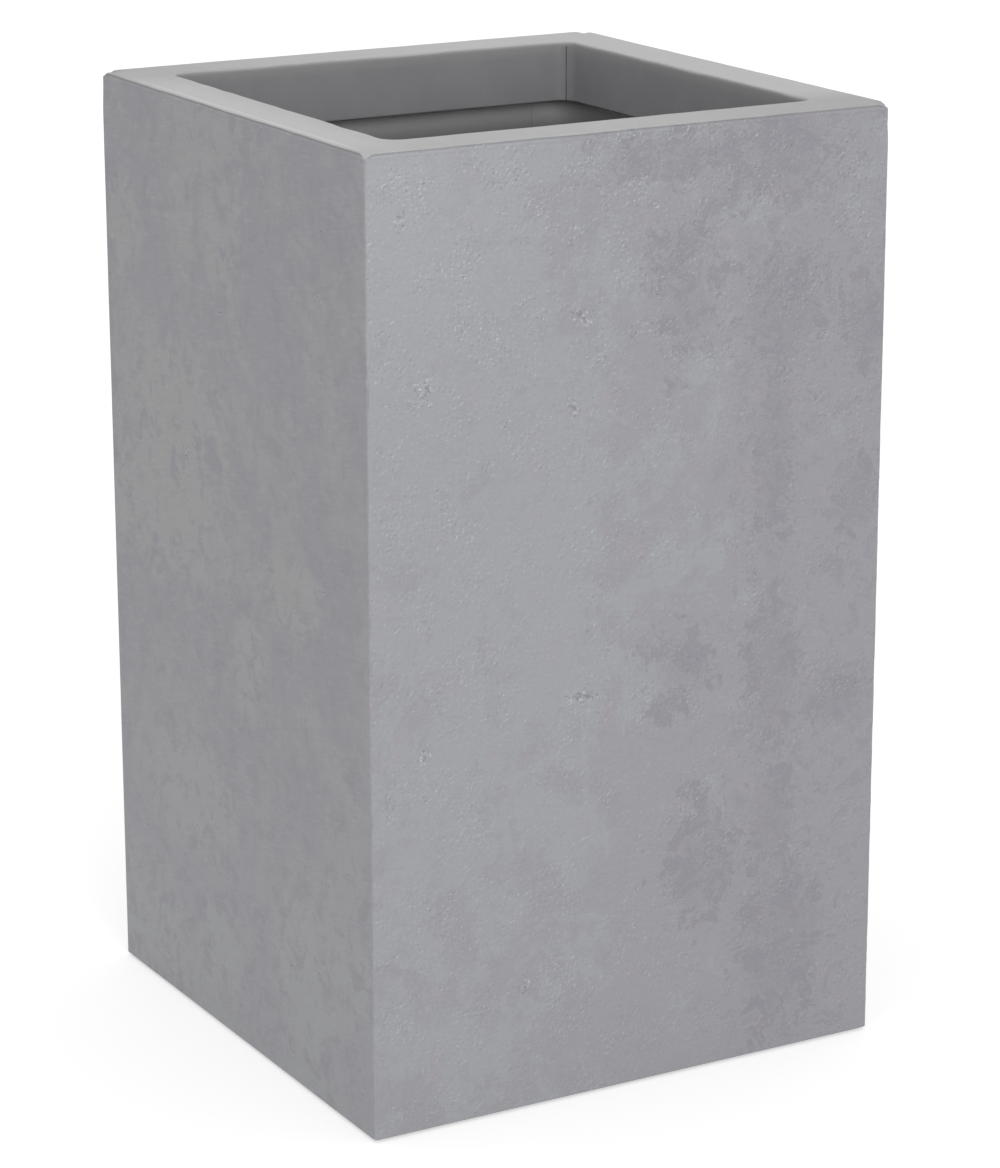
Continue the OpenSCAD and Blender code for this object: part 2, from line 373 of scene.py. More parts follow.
@dataclass
class Piece:
    """One visible piece: its name, its body, the CAD node that it stands for and its finish."""

    name: str
    body: Body
    node: str
    finish: "Finish"
    smooth_degrees: float = 40.0

    def make(self, mesh: PieceMesh, bevel: float = 0.0, joined: Sequence[PieceMesh] = (),
             carved: Sequence[PieceMesh] = ()) -> None:
        """Turns a mesh into the finished object, which rides on its body.

        Args:
            mesh: The piece's mesh in millimetres.
            bevel: Width in millimetres of the rounding along its sharp edges.
            joined: Forms fused onto it.
            carved: Forms cut out of it.
        """
        made = self.to_object(mesh, self.name)
        for operation, tools in (("UNION", joined), ("DIFFERENCE", carved)):
            for tool in tools:
                self.combine(made, tool, operation)
        if bevel > 0:
            edges = made.modifiers.new("edges", "BEVEL")
            edges.width = bevel * METRES
            edges.segments = ROUNDING_STEPS
            edges.limit_method = "ANGLE"
            edges.angle_limit = math.radians(SHARP_DEGREES)
            edges.miter_outer = "MITER_ARC"
            self.settle(made)
        made.data.shade_smooth()
        made.data.set_sharp_from_angle(angle=math.radians(self.smooth_degrees))
        made.data.materials.clear()
        made.data.materials.append(self.finish.material())
        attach(made, self.body.value)
        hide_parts(self.node)
        LOG.info("%s: %d faces, rides on %s", self.name, len(made.data.polygons), self.body.value)

    def to_object(self, mesh: PieceMesh, name: str) -> Object:
        """Closes a mesh's normals, turns it into metres and links it to the scene.

        Args:
            mesh: The mesh in millimetres, used up here.
            name: Name of the object.

        Returns:
            The new object.
        """
        bmesh.ops.recalc_face_normals(mesh.bm, faces=mesh.bm.faces)
        mesh.bm.transform(Matrix.Scale(METRES, 4))
        data = bpy.data.meshes.new(name)
        mesh.bm.to_mesh(data)
        mesh.bm.free()
        made = bpy.data.objects.new(name, data)
        bpy.context.scene.collection.objects.link(made)
        return made

    def combine(self, made: Object, tool: PieceMesh, operation: str) -> None:
        """Fuses a form onto the object or cuts it out.

        Args:
            made: The object that changes.
            tool: The form, used up here.
            operation: UNION or DIFFERENCE.
        """
        helper = self.to_object(tool, "helper")
        modifier = made.modifiers.new("combine", "BOOLEAN")
        modifier.operation = operation
        modifier.solver = "EXACT"
        modifier.object = helper
        self.settle(made)
        bpy.data.objects.remove(helper)

    def settle(self, made: Object) -> None:
        """Replaces an object's mesh by the one that its modifiers give.

        Args:
            made: The object that changes.
        """
        settled = bpy.data.meshes.new_from_object(made.evaluated_get(bpy.context.evaluated_depsgraph_get()))
        made.modifiers.clear()
        before = made.data
        made.data = settled
        settled.name = made.name
        bpy.data.meshes.remove(before)


class Graph:
    """Adds nodes to one node tree. An input is a socket to link, or a plain value."""

    def __init__(self, tree: NodeTree) -> None:
        """Takes the tree to work in. Place is where a surface effect is looked up, in metres."""
        self.tree = tree
        self.place: Feed = (0.0, 0.0, 0.0)

    def add(self, kind: str, inputs: dict[str | int, Feed] | None = None, **settings: object) -> Node:
        """Adds one node.

        Args:
            kind: Type of the node.
            inputs: Feeds by input name or number.
            **settings: Properties of the node.

        Returns:
            The node.
        """
        node = self.tree.nodes.new(kind)
        for name, value in settings.items():
            setattr(node, name, value)
        self.feed(node, inputs or {})
        return node

    def feed(self, node: Node, inputs: dict[str | int, Feed]) -> None:
        """Links sockets to a node's inputs, or sets their values.

        Args:
            node: The node.
            inputs: Feeds by input name or number.
        """
        for key, value in inputs.items():
            if isinstance(value, NodeSocket):
                self.tree.links.new(value, node.inputs[key])
            else:
                node.inputs[key].default_value = value

    def math(self, operation: str, *terms: Feed) -> NodeSocket:
        """Carries a Math node's operation over the terms, from the first to the last.

        Args:
            operation: The operation.
            *terms: Sockets or values; a tuple stands for the product of its members.

        Returns:
            The result's socket.
        """
        result, *others = [self.product(*term) if isinstance(term, tuple) else term for term in terms]
        for term in others:
            result = self.add("ShaderNodeMath", {0: result, 1: term}, operation=operation).outputs[0]
        return result

    def product(self, *terms: Feed) -> NodeSocket:
        """Product of the terms."""
        return self.math("MULTIPLY", *terms)

    def total(self, *terms: Feed) -> NodeSocket:
        """Sum of the terms."""
        return self.math("ADD", *terms)

    def minus(self, *terms: Feed) -> NodeSocket:
        """The first term less the others."""
        return self.math("SUBTRACT", *terms)

    def larger(self, *terms: Feed) -> NodeSocket:
        """The largest of the terms."""
        return self.math("MAXIMUM", *terms)

    def absolute(self, value: Feed) -> NodeSocket:
        """The value without its sign."""
        return self.add("ShaderNodeMath", {0: value}, operation="ABSOLUTE").outputs[0]

    def span(self, value: Feed, low: Feed, high: Feed, start: Feed = 0.0, end: Feed = 1.0) -> NodeSocket:
        """Goes smoothly from start at low to end at high; low may lie above high."""
        inputs = {"Value": value, "From Min": low, "From Max": high, "To Min": start, "To Max": end}
        return self.add("ShaderNodeMapRange", inputs, interpolation_type="SMOOTHSTEP").outputs[0]

    def layers(self, colour: Feed, *layers: tuple[Feed, ...]) -> NodeSocket:
        """Lays colours over a first one, in order.

        Args:
            colour: The first colour.
            *layers: For each layer, its colour and the factors of its share.

        Returns:
            The colour's socket.
        """
        for over, *share in layers:
            mix = self.add("ShaderNodeMix", {0: self.product(*share), 6: colour, 7: over}, data_type="RGBA")
            colour = mix.outputs[2]
        return colour

    def vector(self, operation: str, first: Feed, second: Feed = (0.0, 0.0, 0.0)) -> NodeSocket:
        """Result of a Vector Math node: a value for a length or a distance, else a vector."""
        kind = "Value" if operation in ("LENGTH", "DISTANCE") else "Vector"
        return self.add("ShaderNodeVectorMath", {0: first, 1: second}, operation=operation).outputs[kind]

    def scaled(self, scale: Feed) -> NodeSocket:
        """The place, stretched by a scale on each axis."""
        return self.vector("MULTIPLY", self.place, scale)

    def xyz(self, x: Feed, y: Feed, z: Feed = 0.0) -> NodeSocket:
        """A vector from its components."""
        return self.add("ShaderNodeCombineXYZ", {0: x, 1: y, 2: z}).outputs[0]

    def parts(self, vector: Feed) -> tuple[NodeSocket, ...]:
        """The three components of a vector."""
        return tuple(self.add("ShaderNodeSeparateXYZ", {0: vector}).outputs)

    def noise(self, scale: Feed, detail: float = 3.0, roughness: float = 0.55, seed: Feed = 0.0,
              swirl: float = 0.0, at: Feed | None = None) -> NodeSocket:
        """Smooth noise from 0 to 1.

        Args:
            scale: Number of features per metre.
            detail: Number of finer layers.
            roughness: Weight of the finer layers.
            seed: Picks another pattern.
            swirl: How far the pattern is dragged about.
            at: Where it is looked up, if not at the place.

        Returns:
            The value's socket.
        """
        aside = self.add("ShaderNodeVectorMath", {0: (3.1, -1.7, 2.3), "Scale": seed}, operation="SCALE")
        spot = self.vector("ADD", self.place if at is None else at, aside.outputs[0])
        inputs = {"Vector": spot, "Scale": scale, "Detail": detail, "Roughness": roughness,
                  "Distortion": swirl}
        return self.add("ShaderNodeTexNoise", inputs).outputs[0]

    def cells(self, scale: Feed, at: Feed) -> tuple[NodeSocket, NodeSocket, NodeSocket]:
        """Distance to the middle of the nearest cell of a random pattern, and two random picks for it."""
        outputs = self.add("ShaderNodeTexVoronoi", {"Vector": at, "Scale": scale}).outputs
        return outputs["Distance"], *self.parts(outputs["Color"])[:2]

    def from_middle(self, operation: str) -> NodeSocket:
        """Distance from the upright middle planes: MAXIMUM of the two or MINIMUM."""
        x, y, _ = self.parts(self.place)
        return self.math(operation, self.absolute(x), self.absolute(y))

    def crosswise(self, facing: Feed) -> NodeSocket:
        """1 where the surface faces left or right, 0 where it faces front or back."""
        return self.span(self.absolute(self.parts(facing)[0]), 0.35, 0.75)

    def use(self, effect: "Effect", **feeds: Feed) -> NodeOutputs:
        """Places a shared effect, feeds its inputs by their names and gives its outputs."""
        return self.add("ShaderNodeGroup", {"Place": self.place, **feeds}, node_tree=effect.tree).outputs


class EffectGraph(Graph):
    """Nodes of a shared effect: a shader node group with named inputs and outputs."""

    def __init__(self, name: str) -> None:
        """Starts the group with one input, the place in metres.

        Args:
            name: Name of the group.
        """
        super().__init__(bpy.data.node_groups.new(name, "ShaderNodeTree"))
        self.inside, self.outside = self.add("NodeGroupInput"), self.add("NodeGroupOutput")
        self.place = self.take(Place=None)

    def take(self, **inputs: float | None) -> NodeSocket | list[NodeSocket]:
        """Makes inputs of the group.

        Args:
            **inputs: Starting values by name; None stands for a vector.

        Returns:
            The input's socket, or a list of them for several.
        """
        for label, value in inputs.items():
            kind = "NodeSocketVector" if value is None else "NodeSocketFloat"
            socket = self.tree.interface.new_socket(label, in_out="INPUT", socket_type=kind)
            if value is not None:
                socket.default_value = value
        sockets = [self.inside.outputs[label] for label in inputs]
        return sockets if len(sockets) > 1 else sockets[0]

    def give(self, **results: NodeSocket) -> None:
        """Makes the group's outputs and links them.

        Args:
            **results: Sockets by the output's name; Colour is a colour, the others are values.
        """
        for label in results:
            kind = "NodeSocketColor" if label == "Colour" else "NodeSocketFloat"
            self.tree.interface.new_socket(label, in_out="OUTPUT", socket_type=kind)
        self.feed(self.outside, results)


class Effect:
    """A surface effect that several materials share, built as one node group when it is first used."""

    def __init__(self, draw: Callable[[EffectGraph], None]) -> None:
        """Takes the function that draws the group; its name is the group's."""
        self.draw = draw

    @functools.cached_property
    def tree(self) -> NodeTree:
        """The node group.

        Returns:
            Its tree.
        """
        g = EffectGraph(self.draw.__name__)
        self.draw(g)
        return g.tree


class SurfaceGraph(Graph):
    """Nodes of a material around a Principled shader."""

    def __init__(self, name: str) -> None:
        """Starts a material with its shader.

        Args:
            name: Name of the material.
        """
        self.material = bpy.data.materials.new(name)
        self.material.use_nodes = True
        self.material.node_tree.nodes.clear()
        super().__init__(self.material.node_tree)
        self.shader = self.add("ShaderNodeBsdfPrincipled")
        self.add("ShaderNodeOutputMaterial", {"Surface": self.shader.outputs[0]})
        coords = self.add("ShaderNodeTexCoord").outputs
        self.place, self.facing = coords["Object"], coords["Normal"]

    def coat(self, colour: Feed, rough: Feed, relief: NodeSocket, depth: float, shine: float = 0.5,
             metal: float = 0.0) -> None:
        """Feeds the shader.

        Args:
            colour: Base colour.
            rough: Roughness.
            relief: Height from 0 to 1.
            depth: What a height of 1 stands for, in millimetres.
            shine: Specular level.
            metal: 1 for bare metal.
        """
        bump = self.add("ShaderNodeBump", {"Strength": 1.0, "Distance": depth * METRES, "Height": relief})
        self.feed(self.shader, {"Base Color": colour, "Roughness": rough, "Specular IOR Level": shine,
                                "Metallic": metal, "Normal": bump.outputs[0]})


@Effect
def cloud_mottle(g: EffectGraph) -> None:
    """Soft clouds of an uneven mix. Rise squeezes them in height: below 1 they stand upright.

    Args:
        g: The effect's graph.
    """
    scale, rise, low, high, seed = g.take(Scale=10.0, Rise=1.0, Low=0.35, High=0.65, Seed=0.0)
    clouds = g.noise(scale, 6.0, 0.62, seed, at=g.scaled(g.xyz(1.0, 1.0, rise)))
    g.give(Mask=g.span(clouds, low, high))


@Effect
def air_pits(g: EffectGraph) -> None:
    """Irregular round pits left by air bubbles, in a share of the cells.

    Args:
        g: The effect's graph.
    """
    scale, radius, share = g.take(Scale=60.0, Radius=0.2, Share=0.3)
    bend = g.add("ShaderNodeTexNoise", {"Vector": g.place, "Scale": 700.0, "Detail": 1.0}).outputs[1]
    bent = g.vector("ADD", g.place, g.vector("MULTIPLY", bend, (0.0016, 0.0016, 0.0016)))
    away, pick, other_pick = g.cells(scale, bent)
    there = g.math("LESS_THAN", pick, share)
    size = g.product(radius, g.span(other_pick, 0.0, 1.0, 0.35, 1.0))
    inside = g.span(away, size, g.product(size, 0.55))
    around = g.span(away, g.product(size, 1.7), size)
    g.give(Pit=g.product(inside, there), Rim=g.product(g.minus(around, inside), there))


@Effect
def fine_stipple(g: EffectGraph) -> None:
    """Fine stipple of a rough or moulded skin, with bright grains.

    Args:
        g: The effect's graph.
    """
    scale = g.take(Scale=420.0)
    coarse = g.noise(g.product(scale, 0.42), 2.0, 0.5, 7.7)
    both = g.total((g.noise(scale, 2.0, 0.6, 3.1), 0.6), (coarse, 0.4))
    g.give(Height=g.minus(both, 0.5), Grain=g.span(both, 0.57, 0.66))


@Effect
def embossed_grains(g: EffectGraph) -> None:
    """Raised and sunk grains, each with a lit and a shaded side. Step points away from the lit side.

    Args:
        g: The effect's graph.
    """
    scale = g.take(Scale=430.0)
    step = g.take(Step=None)
    here = g.noise(scale, 2.0, 0.65, 6.6)
    slope = g.minus(here, g.noise(scale, 2.0, 0.65, 6.6, at=g.vector("ADD", g.place, step)))
    g.give(Light=g.span(slope, 0.06, 0.34), Dark=g.span(slope, -0.06, -0.34), Height=here)


@Effect
def upright_streaks(g: EffectGraph) -> None:
    """Thin upright streaks left as a wall leaves its mould.

    Args:
        g: The effect's graph.
    """
    scale, rise = g.take(Scale=160.0, Rise=0.12)
    lines = g.noise(scale, 4.0, 0.6, 5.5, at=g.scaled(g.xyz(1.0, 1.0, rise)))
    g.give(Mask=g.span(lines, 0.5, 0.7))


@Effect
def trowel_strokes(g: EffectGraph) -> None:
    """Short faint strokes, nearly level, left as the skin was rubbed down.

    Args:
        g: The effect's graph.
    """
    scale, level, slope = g.take(Scale=480.0, Level=0.14, Slope=0.14)
    x, y, z = g.parts(g.place)
    drawn_out = g.xyz(g.product(x, level), g.product(y, level), g.total(z, (g.total(x, y), slope)))
    strokes = g.noise(scale, 3.0, 0.6, 4.2, at=drawn_out)
    g.give(Light=g.span(strokes, 0.54, 0.72), Dark=g.span(strokes, 0.46, 0.28))


@Effect
def torn_patch(g: EffectGraph) -> None:
    """One patch about a centre. Torn moves its edge in and out; 0.5 leaves it round.

    Args:
        g: The effect's graph.
    """
    centre, reach = g.take(Centre=None, Reach=None)
    torn = g.take(Torn=0.5)
    away = g.vector("LENGTH", g.vector("DIVIDE", g.vector("SUBTRACT", g.place, centre), reach))
    g.give(Mask=g.span(g.total(away, (g.minus(torn, 0.5), 6.0)), 1.2, 0.75))


@Effect
def edge_wear(g: EffectGraph) -> None:
    """Rubbed upright edges of a square body, broken up along their length.

    Args:
        g: The effect's graph.
    """
    half, reach = g.take(Half=0.2, Reach=0.008)
    gap = g.minus(half, g.from_middle("MINIMUM"))
    ragged = g.total(gap, (g.noise(90.0, 4.0, 0.65), reach, 1.5))
    g.give(Mask=g.span(ragged, g.product(reach, 1.6), g.product(reach, 0.5)))


@Effect
def settled_dust(g: EffectGraph) -> None:
    """Dust on what faces up, thicker in soft patches.

    Args:
        g: The effect's graph.
    """
    facing = g.take(Facing=None)
    scale, amount = g.take(Scale=30.0, Amount=0.5)
    up = g.span(g.parts(facing)[2], 0.2, 0.95)
    patches = g.span(g.noise(scale, 5.0, 0.65, 2.2), 0.3, 0.75)
    specks = g.span(g.noise(900.0, 1.0, 0.5, 8.8), 0.55, 0.75)
    g.give(Mask=g.product(up, g.total((patches, 0.7), (specks, 0.3)), amount))


@Effect
def hair_scratches(g: EffectGraph) -> None:
    """Thin scratches in two directions.

    Args:
        g: The effect's graph.
    """
    scale = g.take(Scale=40.0)
    lines = []
    for stretch, seed in (((1.0, 0.35, 0.06), 1.0), ((0.12, 0.5, 1.0), 6.0)):
        value = g.noise(g.product(scale, 9.0), 1.0, 0.4, seed, at=g.scaled(stretch))
        here = g.span(g.noise(scale, 2.0, 0.5, seed + 2.0), 0.5, 0.62)
        lines.append(g.product(g.span(g.absolute(g.minus(value, 0.5)), 0.012, 0.003), here))
    g.give(Mask=g.larger(*lines))


@Effect
def short_fibres(g: EffectGraph) -> None:
    """Short chopped fibres that show in a rough cement composite.

    Args:
        g: The effect's graph.
    """
    scale = g.take(Scale=60.0)
    lines = []
    for stretch in ((1.0, 1.0, 0.1), (0.1, 1.0, 1.0), (1.0, 0.1, 1.0)):
        away, pick, _ = g.cells(g.product(scale, 5.0), g.scaled(stretch))
        lines.append(g.product(g.span(away, 0.16, 0.06), g.math("LESS_THAN", pick, 0.22)))
    g.give(Mask=g.larger(*lines))


@Effect
def raw_skin(g: EffectGraph) -> None:
    """Unpainted cement composite: damp clouds, sand, short fibres and pores, with painted shade in the pores,
    painted shade on a zone a little below the band, and painted light on the strip just under it.

    Args:
        g: The effect's graph.
    """
    clouds = g.use(cloud_mottle, Scale=26.0, Rise=0.8, Low=0.38, High=0.66, Seed=7.4)["Mask"]
    stipple = g.use(fine_stipple, Scale=360.0)
    fibres = g.use(short_fibres)["Mask"]
    pits = g.use(air_pits, Scale=130.0, Radius=0.22, Share=0.2)["Pit"]
    z = g.parts(g.place)[2]
    colour = g.layers(
        srgb(176, 175, 173),
        (srgb(164, 163, 161), clouds),
        (srgb(188, 185, 180), stipple["Grain"], 0.6),
        (srgb(200, 199, 195), fibres, 0.5),
        # Painted shade in the pores.
        (srgb(120, 118, 116), pits, 0.4),
        # Painted shade: darker upwards from 0.44 m, fully from 0.57 m.
        (srgb(142, 142, 143), g.span(z, 0.44, 0.57), 0.8),
        # Painted light: paler upwards from 0.6 m, just under the band where it casts shade.
        (grey(218), g.span(z, 0.6, 0.617), 0.8),
    )
    raised = g.total(stipple["Height"], (fibres, 0.25))
    g.give(Height=g.minus(raised, (pits, 0.8)), Rough=g.total(0.82, (clouds, 0.1)), Colour=colour)


@dataclass(frozen=True)
class Patch:
    """A patch on a wall, in millimetres: its centre across and up the wall, and how far it reaches."""

    side: Side
    across: float
    up: float
    half_width: float
    half_height: float

    def mask(self, g: Graph, torn: NodeSocket) -> NodeSocket:
        """Mask of the patch.

        Args:
            g: The graph to work in.
            torn: Noise that tears its edge.

        Returns:
            The mask's socket.
        """
        centre, reach = [-200.0, -200.0, self.up], [100.0, 100.0, self.half_height]
        along = 0 if self.side is Side.FRONT else 1
        centre[along], reach[along] = self.across, self.half_width
        centre, reach = (tuple(value * METRES for value in row) for row in (centre, reach))
        return g.use(torn_patch, Centre=centre, Reach=reach, Torn=torn)["Mask"]


def patches(side: Side, *rows: tuple[float, float, float, float]) -> tuple[Patch, ...]:
    """Patches on one wall, each given by its place across and up and its reach."""
    return tuple(Patch(side, *row) for row in rows)


@dataclass(frozen=True)
class WallSkin:
    """Outside of the walls, shared with the lip's narrow sides: fine-grained concrete with torn patches."""

    blue: Colour = srgb(158, 160, 164)
    plum: Colour = srgb(155, 154, 159)
    dusk: Colour = srgb(141, 139, 146)
    rose: Colour = srgb(163, 156, 161)
    # Colour of painted light: the upper -X end of the front and back walls, and the feet of the left and
    # right walls.
    bloom: Colour = srgb(168, 170, 174)
    slate: Colour = srgb(154, 153, 158)
    ash: Colour = grey(163)
    mist: Colour = srgb(162, 162, 166)
    # Darker tone of torn patches, also used as painted shade at the top of the left and right walls.
    shade: Colour = srgb(143, 142, 148)
    # Pale strokes, and painted highlights on the grains, the dents and the rims of pits.
    glint: Colour = srgb(208, 210, 212)
    # Dark strokes, and painted shade in specks, pits and dents and on the grains' shaded sides.
    dark_marks_and_shade: Colour = srgb(106, 106, 112)
    dark: tuple[Patch, ...] = patches(
        Side.FRONT, (38, 565, 25, 48), (30, 650, 55, 16), (118, 642, 30, 30), (118, 540, 29, 36),
        (185, 522, 19, 30), (112, 440, 14, 60), (180, 400, 16, 22), (112, 285, 20, 55), (168, 258, 28, 20),
        (36, 298, 24, 30), (122, 88, 30, 60), (56, 160, 28, 40), (116, 175, 16, 38), (70, 625, 20, 22))
    pale: tuple[Patch, ...] = patches(
        Side.LEFT, (22, 648, 65, 22), (10, 590, 27, 35), (70, 595, 16, 35), (175, 570, 28, 30),
        (90, 447, 70, 40), (110, 375, 90, 45), (-90, 355, 40, 25), (-20, 285, 20, 30), (80, 165, 60, 35),
        (-95, 65, 35, 65), (-168, 112, 30, 22), (150, 35, 50, 35), (35, 60, 34, 30))
    dents: tuple[Patch, ...] = patches(
        Side.FRONT, (-180, 655, 6, 3), (-175, 625, 3, 6), (-40, 548, 7, 5), (-160, 515, 6, 5),
        (-48, 492, 4, 9), (-40, 290, 9, 5), (-160, 268, 5, 6), (-85, 90, 6, 6),
    ) + patches(Side.LEFT, (73, 420, 3, 4), (73, 145, 3, 3), (-132, 567, 6, 4))

    def patched(self, g: Graph, torn: NodeSocket, rows: Sequence[Patch]) -> NodeSocket:
        """Mask of several patches whose edges a noise tears."""
        return g.larger(*[patch.mask(g, torn) for patch in rows])

    def long_colour(self, g: Graph, torn: NodeSocket) -> NodeSocket:
        """Colour of the front and back walls, darker and more torn towards +X.

        Args:
            g: The group's graph.
            torn: Fine noise with torn edges.

        Returns:
            The colour's socket.
        """
        x, _, z = g.parts(g.place)
        wide = g.noise(12.0, 7.0, 0.78, 1.3, 0.3)
        lean = g.total(wide, (g.span(x, -0.13, 0.17), 0.14), (g.span(z, 0.45, 0.0), 0.05))
        small = g.noise(42.0, 4.0, 0.7, 8.8)
        right = g.span(g.total(x, (g.minus(wide, 0.5), 0.3)), 0.06, 0.1)
        return g.layers(
            self.blue,
            (self.plum, g.span(lean, 0.525, 0.6)),
            (self.rose, g.span(small, 0.58, 0.64), 0.4),
            (self.dusk, g.span(torn, 0.525, 0.58), g.total(0.15, (right, 0.3))),
            (self.dusk, right, 0.1),
            (self.dusk, self.patched(g, torn, self.dark), g.span(torn, 0.55, 0.45, 0.25, 0.72)),
            # Painted light: paler towards the top of the -X end.
            (self.bloom, g.span(x, -0.03, -0.17), g.span(z, 0.46, 0.66), 0.5),
        )

    def cross_colour(self, g: Graph, torn: NodeSocket) -> NodeSocket:
        """Colour of the left and right walls, with paler clouds.

        Args:
            g: The group's graph.
            torn: Fine noise with torn edges.

        Returns:
            The colour's socket.
        """
        z = g.parts(g.place)[2]
        wide = g.noise(13.0, 7.0, 0.76, 5.1, 0.3, at=g.scaled((1.0, 1.0, 0.8)))
        small = g.noise(46.0, 4.0, 0.7, 3.7, at=g.scaled((1.0, 0.8, 1.3)))
        return g.layers(
            self.slate,
            (self.ash, g.larger((g.span(wide, 0.48, 0.6), 0.5), (self.patched(g, torn, self.pale), 0.7))),
            # Painted light: paler towards the bottom.
            (self.bloom, g.span(z, 0.35, 0.0), 0.4),
            # Painted shade: darker towards the top.
            (self.shade, g.span(z, 0.5, 0.66), 0.15),
            (self.mist, g.span(small, 0.53, 0.64), 0.5),
            (self.shade, g.span(torn, 0.5, 0.6), 0.4),
        )

    def wall_skin(self, g: EffectGraph) -> None:
        """Torn patches, strokes, stipple, specks and pits, with painted highlights and painted shade on the
        grains, the dents and the pits.

        Args:
            g: The effect's graph.
        """
        x, _, z = g.parts(g.place)
        cross_wall = g.crosswise(g.take(Facing=None))
        long_wall = g.minus(1.0, cross_wall)
        torn = g.noise(50.0, 6.0, 0.8, 2.6, 0.5)
        strokes = g.use(trowel_strokes)
        stroked = g.total((cross_wall, 0.06), 0.03)
        cluster = g.span(g.noise(26.0, 5.0, 0.75, 3.3), 0.44, 0.62)
        high = g.span(z, 0.42, 0.66, 0.8, 1.25)
        grained = g.total((long_wall, high, g.total((cluster, 0.75), 0.22)), 0.08)
        grains = g.use(embossed_grains, Step=(-0.0006, 0.0004, 0.0007))
        dented = self.patched(g, torn, self.dents)
        specks = g.use(air_pits, Place=g.scaled((0.5, 0.5, 1.0)), Scale=120.0, Radius=0.1, Share=0.2)["Pit"]
        pits = g.use(air_pits, Scale=75.0, Radius=0.1, Share=g.total((long_wall, 0.05), 0.04))
        colour = g.layers(
            self.long_colour(g, torn),
            (self.cross_colour(g, torn), cross_wall),
            (self.glint, strokes["Light"], stroked),
            (self.dark_marks_and_shade, strokes["Dark"], stroked),
            # Painted highlight and painted shade on the lit and shaded sides of the grains.
            (self.glint, grains["Light"], grained, g.span(x, -0.05, 0.1, 0.75, 0.5)),
            (self.dark_marks_and_shade, grains["Dark"], grained, 0.6),
            # Painted highlights and painted shade in the clusters of dents.
            (self.glint, g.span(grains["Height"], 0.56, 0.68), dented, 0.5),
            (self.dark_marks_and_shade, g.span(grains["Height"], 0.47, 0.36), dented, 0.5),
            # Painted shade in the specks and the pits, and a painted highlight on the pits' rims.
            (self.dark_marks_and_shade, specks, g.total((long_wall, 0.24), 0.16)),
            (self.dark_marks_and_shade, pits["Pit"], 0.7),
            (self.glint, pits["Rim"], 0.2),
        )
        height = g.minus((grains["Height"], grained, 0.6), g.total((pits["Pit"], 0.9), (specks, 0.35)))
        g.give(Height=height, Pitted=pits["Pit"], Colour=colour)


WALL_SKIN = Effect(WallSkin().wall_skin)


@dataclass(frozen=True)
class Finish:
    """A finish: its material's name, a slot name that nothing here reads, and the material, built at its
    first use.
    """

    name: str
    slot: str

    def material(self) -> Material:
        """The material, built once."""
        return bpy.data.materials.get(self.name) or self.build()

    def build(self) -> Material:
        """Builds the material around a Principled shader.

        Returns:
            The material.
        """
        g = SurfaceGraph(self.name)
        self.dress(g)
        return g.material

    def dress(self, g: SurfaceGraph) -> None:
        """Feeds the shader; every finish has its own way.

        Args:
            g: The material's graph.
        """
        raise NotImplementedError


@dataclass(frozen=True)
class WallConcrete(Finish):
    """The walls: the shared skin outside, rubbed along the upright edges, and raw composite inside."""

    worn: Colour = srgb(186, 187, 190)
    inside: float = 0.1955

    def dress(self, g: SurfaceGraph) -> None:
        """Skin, rubbed edges, and the raw inside.

        Args:
            g: The material's graph.
        """
        skin = g.use(WALL_SKIN, Facing=g.facing)
        raw = g.use(raw_skin)
        rubbed = g.use(edge_wear, Reach=0.003)["Mask"]
        glints = g.span(g.noise(190.0, 3.0, 0.6, 9.4), 0.58, 0.68)
        inner = g.span(g.from_middle("MAXIMUM"), self.inside + 0.0006, self.inside)
        worn = (self.worn, rubbed, g.total(0.02, (glints, 0.6)))
        relief = g.total((skin["Height"], g.minus(1.0, inner)), (raw["Height"], inner))
        g.coat(g.layers(skin["Colour"], worn, (raw["Colour"], inner)),
               g.total(0.64, (skin["Pitted"], 0.2), (inner, 0.2)), relief, 0.5, shine=0.35)


